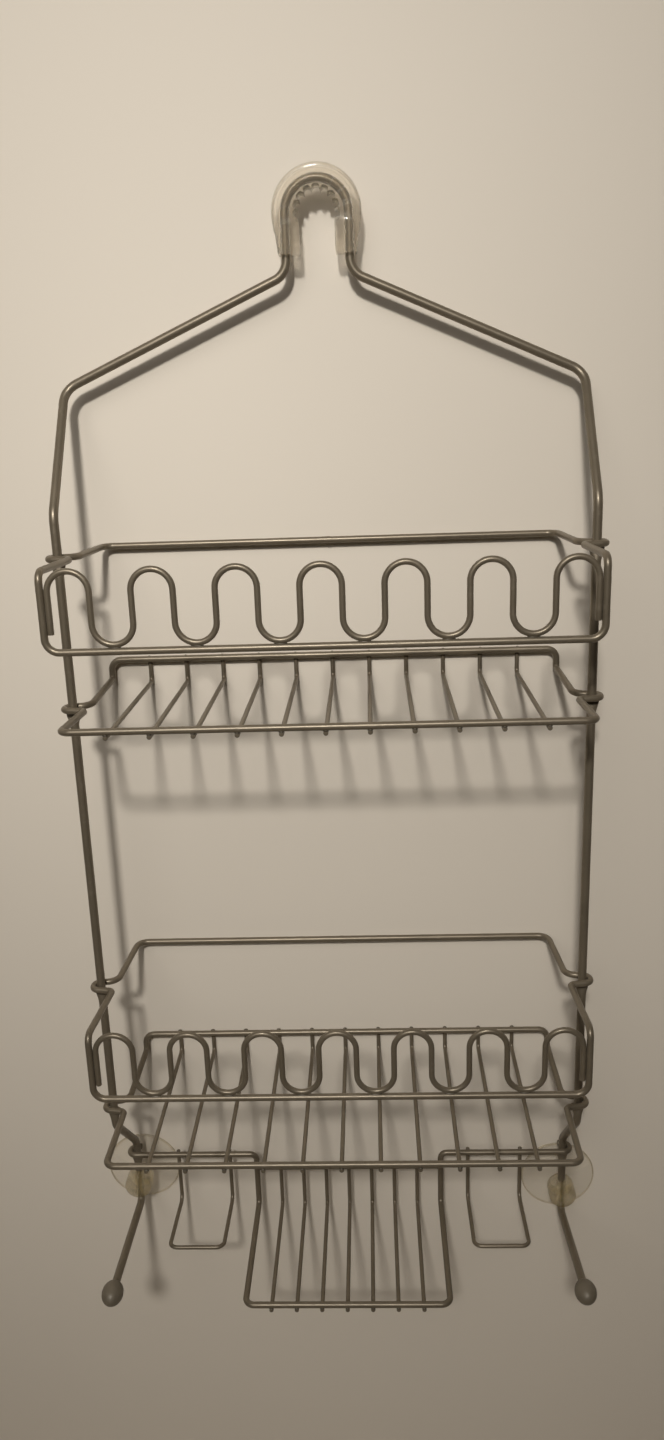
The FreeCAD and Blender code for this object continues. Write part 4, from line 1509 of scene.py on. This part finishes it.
# ------------------------------------------------------------------ suction cups
@dataclass(frozen=True)
class SuctionCup:
    """Soft clear cup with a mushroom head and a cross hole for the blade of the rod."""

    side: Side
    finishes: Finishes
    radius: float = 25.0
    rim: float = 0.9
    hollow: float = 3.0
    root: float = 4.6
    neck_radius: float = 5.8
    neck_height: float = 7.2
    head_radius: float = 9.0
    head_base: float = 9.6
    head_round: float = 2.6
    hole_radius: float = 3.26
    hole_depth: float = 16.0
    ring_radius: float = 5.6
    ring_deep: float = 0.35
    lip_turn: float = 0.35
    root_flare: float = 1.6
    head_flare: float = 1.2
    drill_half: float = 15.0

    def _profile(self, front: float) -> list[Vector]:
        """Half section as (radius, height above the wall), from the hollow to the head."""
        head, turn, inner = self.head_radius, self.head_round, self.radius - self.rim
        neck, outer, base = self.neck_radius, self.radius, self.head_base
        bends = [
            (Vector((inner * 0.55, self.hollow * 0.72)), Vector((inner, 0)), 24),
            (Vector((outer, self.rim * 0.45)), Vector((outer - self.lip_turn, self.rim)), 6),
            (Vector((outer * 0.62, self.rim + 1.6)),
             Vector((neck + self.root_flare, self.root)), 20),
            (Vector((neck, self.neck_height)), Vector((neck + self.head_flare, base)), 12),
            (Vector((head - 0.5, base + 0.9)), Vector((head, base + turn)), 8),
        ]
        start = Vector((AXIS_RING, self.hollow))
        spots: list[Vector] = []
        for middle, end, steps in bends:
            spots += arc_through(start, middle, end, steps)[1 if spots else 0:]
            start = end
        straight = front - turn - base - turn
        spots += [Vector((head, base + turn + straight * k / 6)) for k in range(1, 6)]
        spots += arc_through(Vector((head, front - turn)),
                             Vector((head - turn * 0.29, front - turn * 0.29)),
                             Vector((head - turn, front)), 8)
        ring, deep = self.ring_radius, self.ring_deep
        spots += [Vector((ring + 0.35, front)), Vector((ring + 0.15, front - deep)),
                  Vector((ring - 0.15, front - deep)), Vector((ring - 0.35, front)),
                  Vector((2.2, front)), Vector((1.6, front - 0.2)), Vector((AXIS_RING, front - 0.25))]
        return spots

    def build(self) -> None:
        """Make the cup."""
        node = f"{self.side.word}_suction_cup"
        low, high = node_box(node)
        centre = Vector(((low.x + high.x) / 2, 0, (low.z + high.z) / 2))
        mesh = MeshMaker()
        Turning(tuple(self._profile(-low.y)), centre, Vector((0, -1, 0)), 96).add_to(mesh)
        cup = mesh.piece(f"{self.side.word}_cup", self.finishes.cup)
        drill = MeshMaker()
        ends = tuple(Corner(centre + Vector((0, -self.hole_depth, way * self.drill_half)))
                     for way in (1, -1))
        RoundWire(WirePath(ends), 2 * self.hole_radius, 40, run_step=40).add_to(drill)
        cut_away(cup, drill.piece("drill", self.finishes.cup), 38)

        def finish_of(face: bpy.types.MeshPolygon) -> int:
            """Number of the finish of one face: one for the head, two for the lip with its painted
            highlight, else the thin skirt.
            """
            if -face.center.y > self.neck_height * MM:
                return 1
            reach = math.hypot(face.center.x - centre.x * MM, face.center.z - centre.z * MM)
            return 2 if reach > (self.radius - self.rim) * MM else 0

        dress(cup, [self.finishes.cup, self.finishes.cup_head, self.finishes.cup_rim], finish_of)
        body = Body.LEFT_CUP if self.side is Side.LEFT else Body.RIGHT_CUP
        settle(cup, body, Slot.CUP, [node])


# ------------------------------------------------------------------ ball caps
@dataclass(frozen=True)
class BallCap:
    """Moulded ball pushed over the end of the rod."""

    side: Side
    finishes: Finishes
    radius: float = 6.5
    half_length: float = 8.65
    socket_radius: float = 2.52
    lip: float = 0.45
    seam: float = 0.06
    shrink: float = 0.004

    def build(self) -> None:
        """Make the cap."""
        frame = HangingFrame(self.finishes)
        tip = frame.tip(self.side)
        away = (tip - frame.kink(self.side)).normalized()
        mouth = self.socket_radius + self.lip
        start = math.acos(mouth / self.radius)
        mouth_level = -self.half_length * math.sin(start)
        spots = [Vector((AXIS_RING, 0.0)), Vector((self.socket_radius, 0.0)),
                 Vector((self.socket_radius, mouth_level + 0.3)),
                 Vector((self.socket_radius + 0.15, mouth_level))]
        steps = 40
        for k in range(steps + 1):
            angle = -start + (math.pi / 2 + start) * k / steps
            ridge = self.seam * math.exp(-((angle / 0.03) ** 2))
            spots.append(Vector((self.radius * math.cos(angle) * (1 - self.shrink) + ridge,
                                 self.half_length * math.sin(angle))))
        mesh = MeshMaker()
        Turning(tuple(spots), tip, away, 64).add_to(mesh)
        cap = mesh.piece(f"{self.side.word}_end_ball", self.finishes.cap)
        settle(cap, Body.CADDY, Slot.CAP, [f"{self.side.word}_ball_cap"])


# ------------------------------------------------------------------ studio
@dataclass(frozen=True)
class Lamp:
    """Round soft lamp that hangs at one place and faces another.

    Its size is its diameter, and its spread is the full angle that its light opens to.
    """

    name: str
    at: Vector
    aim: Vector
    size: float
    spread: float
    watts: float
    colour: str = "#fffbf4"

    def hang(self) -> None:
        """Make the lamp."""
        light = bpy.data.lights.new(self.name, "AREA")
        light.spread = math.radians(self.spread)
        light.shape = "DISK"
        light.size = self.size * MM
        light.energy = self.watts
        light.color = linear(self.colour)[:3]
        lamp = bpy.data.objects.new(self.name, light)
        lamp.location = self.at * MM
        lamp.rotation_euler = (self.aim - self.at).to_track_quat("-Z", "Y").to_euler()
        bpy.context.scene.collection.objects.link(lamp)


@dataclass(frozen=True)
class Studio:
    """Pale wall and floor, a small key lamp, a wide soft one, a weak fill and the camera."""

    wall_width: float = 2600.0
    wall_top: float = 900.0
    floor_drop: float = 950.0
    floor_depth: float = 2600.0
    wall_gap: float = 0.6
    lamps: tuple[Lamp, ...] = (
        Lamp("key", Vector((-120, -1640, 780)), Vector((-80, 0, -130)), 150.0, 50.0, 1.75),
        Lamp("soft", Vector((-420, -1560, 860)), Vector((-80, 0, -130)), 1300.0, 66.0, 1.9),
        Lamp("fill", Vector((-900, -1500, 500)), Vector((0, 0, -300)), 900.0, 180.0, 0.25,
             "#fff0dc"),
    )
    room_high: str = "#c9b394"
    room_low: str = "#2a2219"
    room_strength: float = 0.06
    eye: Vector = field(default_factory=lambda: Vector((23.5, -627.4, -109.1)))
    yaw: float = 2.29
    pitch: float = -15.62
    roll: float = -1.975
    lens: float = 26.451

    def _board(self, name: str, corners: Sequence[Vector], finish: EmulsionPaint) -> None:
        """Make one flat board of the studio from its four corners."""
        mesh = bpy.data.meshes.new(name)
        mesh.from_pydata([corner * MM for corner in corners], [], [(0, 1, 2, 3)])
        mesh.materials.append(finish.build())
        board = bpy.data.objects.new(name, mesh)
        bpy.context.scene.collection.objects.link(board)

    def _camera(self) -> None:
        """Set up the camera."""
        yaw, pitch, roll = (math.radians(a) for a in (self.yaw, self.pitch, self.roll))
        forward = Vector((-math.sin(yaw) * math.cos(pitch), math.cos(yaw) * math.cos(pitch),
                          math.sin(pitch)))
        level = Vector((math.cos(yaw), math.sin(yaw), 0))
        upright = level.cross(forward)
        right = level * math.cos(roll) + upright * math.sin(roll)
        up = upright * math.cos(roll) - level * math.sin(roll)
        data = bpy.data.cameras.new("camera")
        data.lens = self.lens
        data.sensor_width = 36.0
        data.clip_start = 0.01
        camera = bpy.data.objects.new("camera", data)
        turn = Matrix((right, up, -forward)).transposed()
        camera.matrix_world = Matrix.Translation(self.eye * MM) @ turn.to_4x4()
        bpy.context.scene.collection.objects.link(camera)
        bpy.context.scene.camera = camera

    def _world(self) -> None:
        """Light the room: pale overhead and dark below, so that the wires' undersides stay dark."""
        world = bpy.data.worlds.new("room")
        world.use_nodes = True
        tree = world.node_tree
        place = add_node(tree, "ShaderNodeTexCoord")
        level = add_node(tree, "ShaderNodeSeparateXYZ", None, {0: place.outputs["Generated"]})
        share = add_node(tree, "ShaderNodeMapRange", {"interpolation_type": "SMOOTHSTEP"},
                         {"Value": level.outputs["Z"], "From Min": -0.5, "From Max": 0.7})
        shade = add_node(tree, "ShaderNodeMix", {"data_type": "RGBA"},
                         {"Factor": share.outputs["Result"], "A": linear(self.room_low),
                          "B": linear(self.room_high)})
        background = tree.nodes["Background"]
        tree.links.new(shade.outputs[2], background.inputs["Color"])
        background.inputs["Strength"].default_value = self.room_strength
        bpy.context.scene.world = world
        bpy.context.scene.view_settings.view_transform = "Standard"

    def build(self) -> None:
        """Make the boards, the lamps, the world and the camera."""
        half, floor, deep = self.wall_width / 2, -self.floor_drop, self.floor_depth
        gap, top = self.wall_gap, self.wall_top
        self._board("wall", [Vector((-half, gap, floor)), Vector((half, gap, floor)),
                             Vector((half, gap, top)), Vector((-half, gap, top))],
                    EmulsionPaint("wall_emulsion", one_sided=True))
        self._board("floor", [Vector((-half, -deep, floor)), Vector((half, -deep, floor)),
                              Vector((half, deep, floor)), Vector((-half, deep, floor))],
                    EmulsionPaint("floor_emulsion"))
        for lamp in self.lamps:
            lamp.hang()
        self._world()
        self._camera()


def main() -> None:
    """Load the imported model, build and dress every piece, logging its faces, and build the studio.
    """
    logging.basicConfig(level=logging.INFO, format="%(name)s: %(message)s")
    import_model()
    finishes = Finishes.mix()
    pieces: list[HangingFrame | ShelfFloor | GuardLoop | SoapDish | HookLoop | NeckGrip
                 | SuctionCup | BallCap] = [HangingFrame(finishes), NeckGrip(finishes)]
    for tier in Tier:
        pieces += [ShelfFloor(tier, finishes), GuardLoop(tier, finishes)]
    pieces.append(SoapDish(finishes))
    for side in Side:
        pieces += [HookLoop(side, finishes), SuctionCup(side, finishes), BallCap(side, finishes)]
    for piece in pieces:
        piece.build()
    Studio().build()


if __name__ == "__main__":
    main()
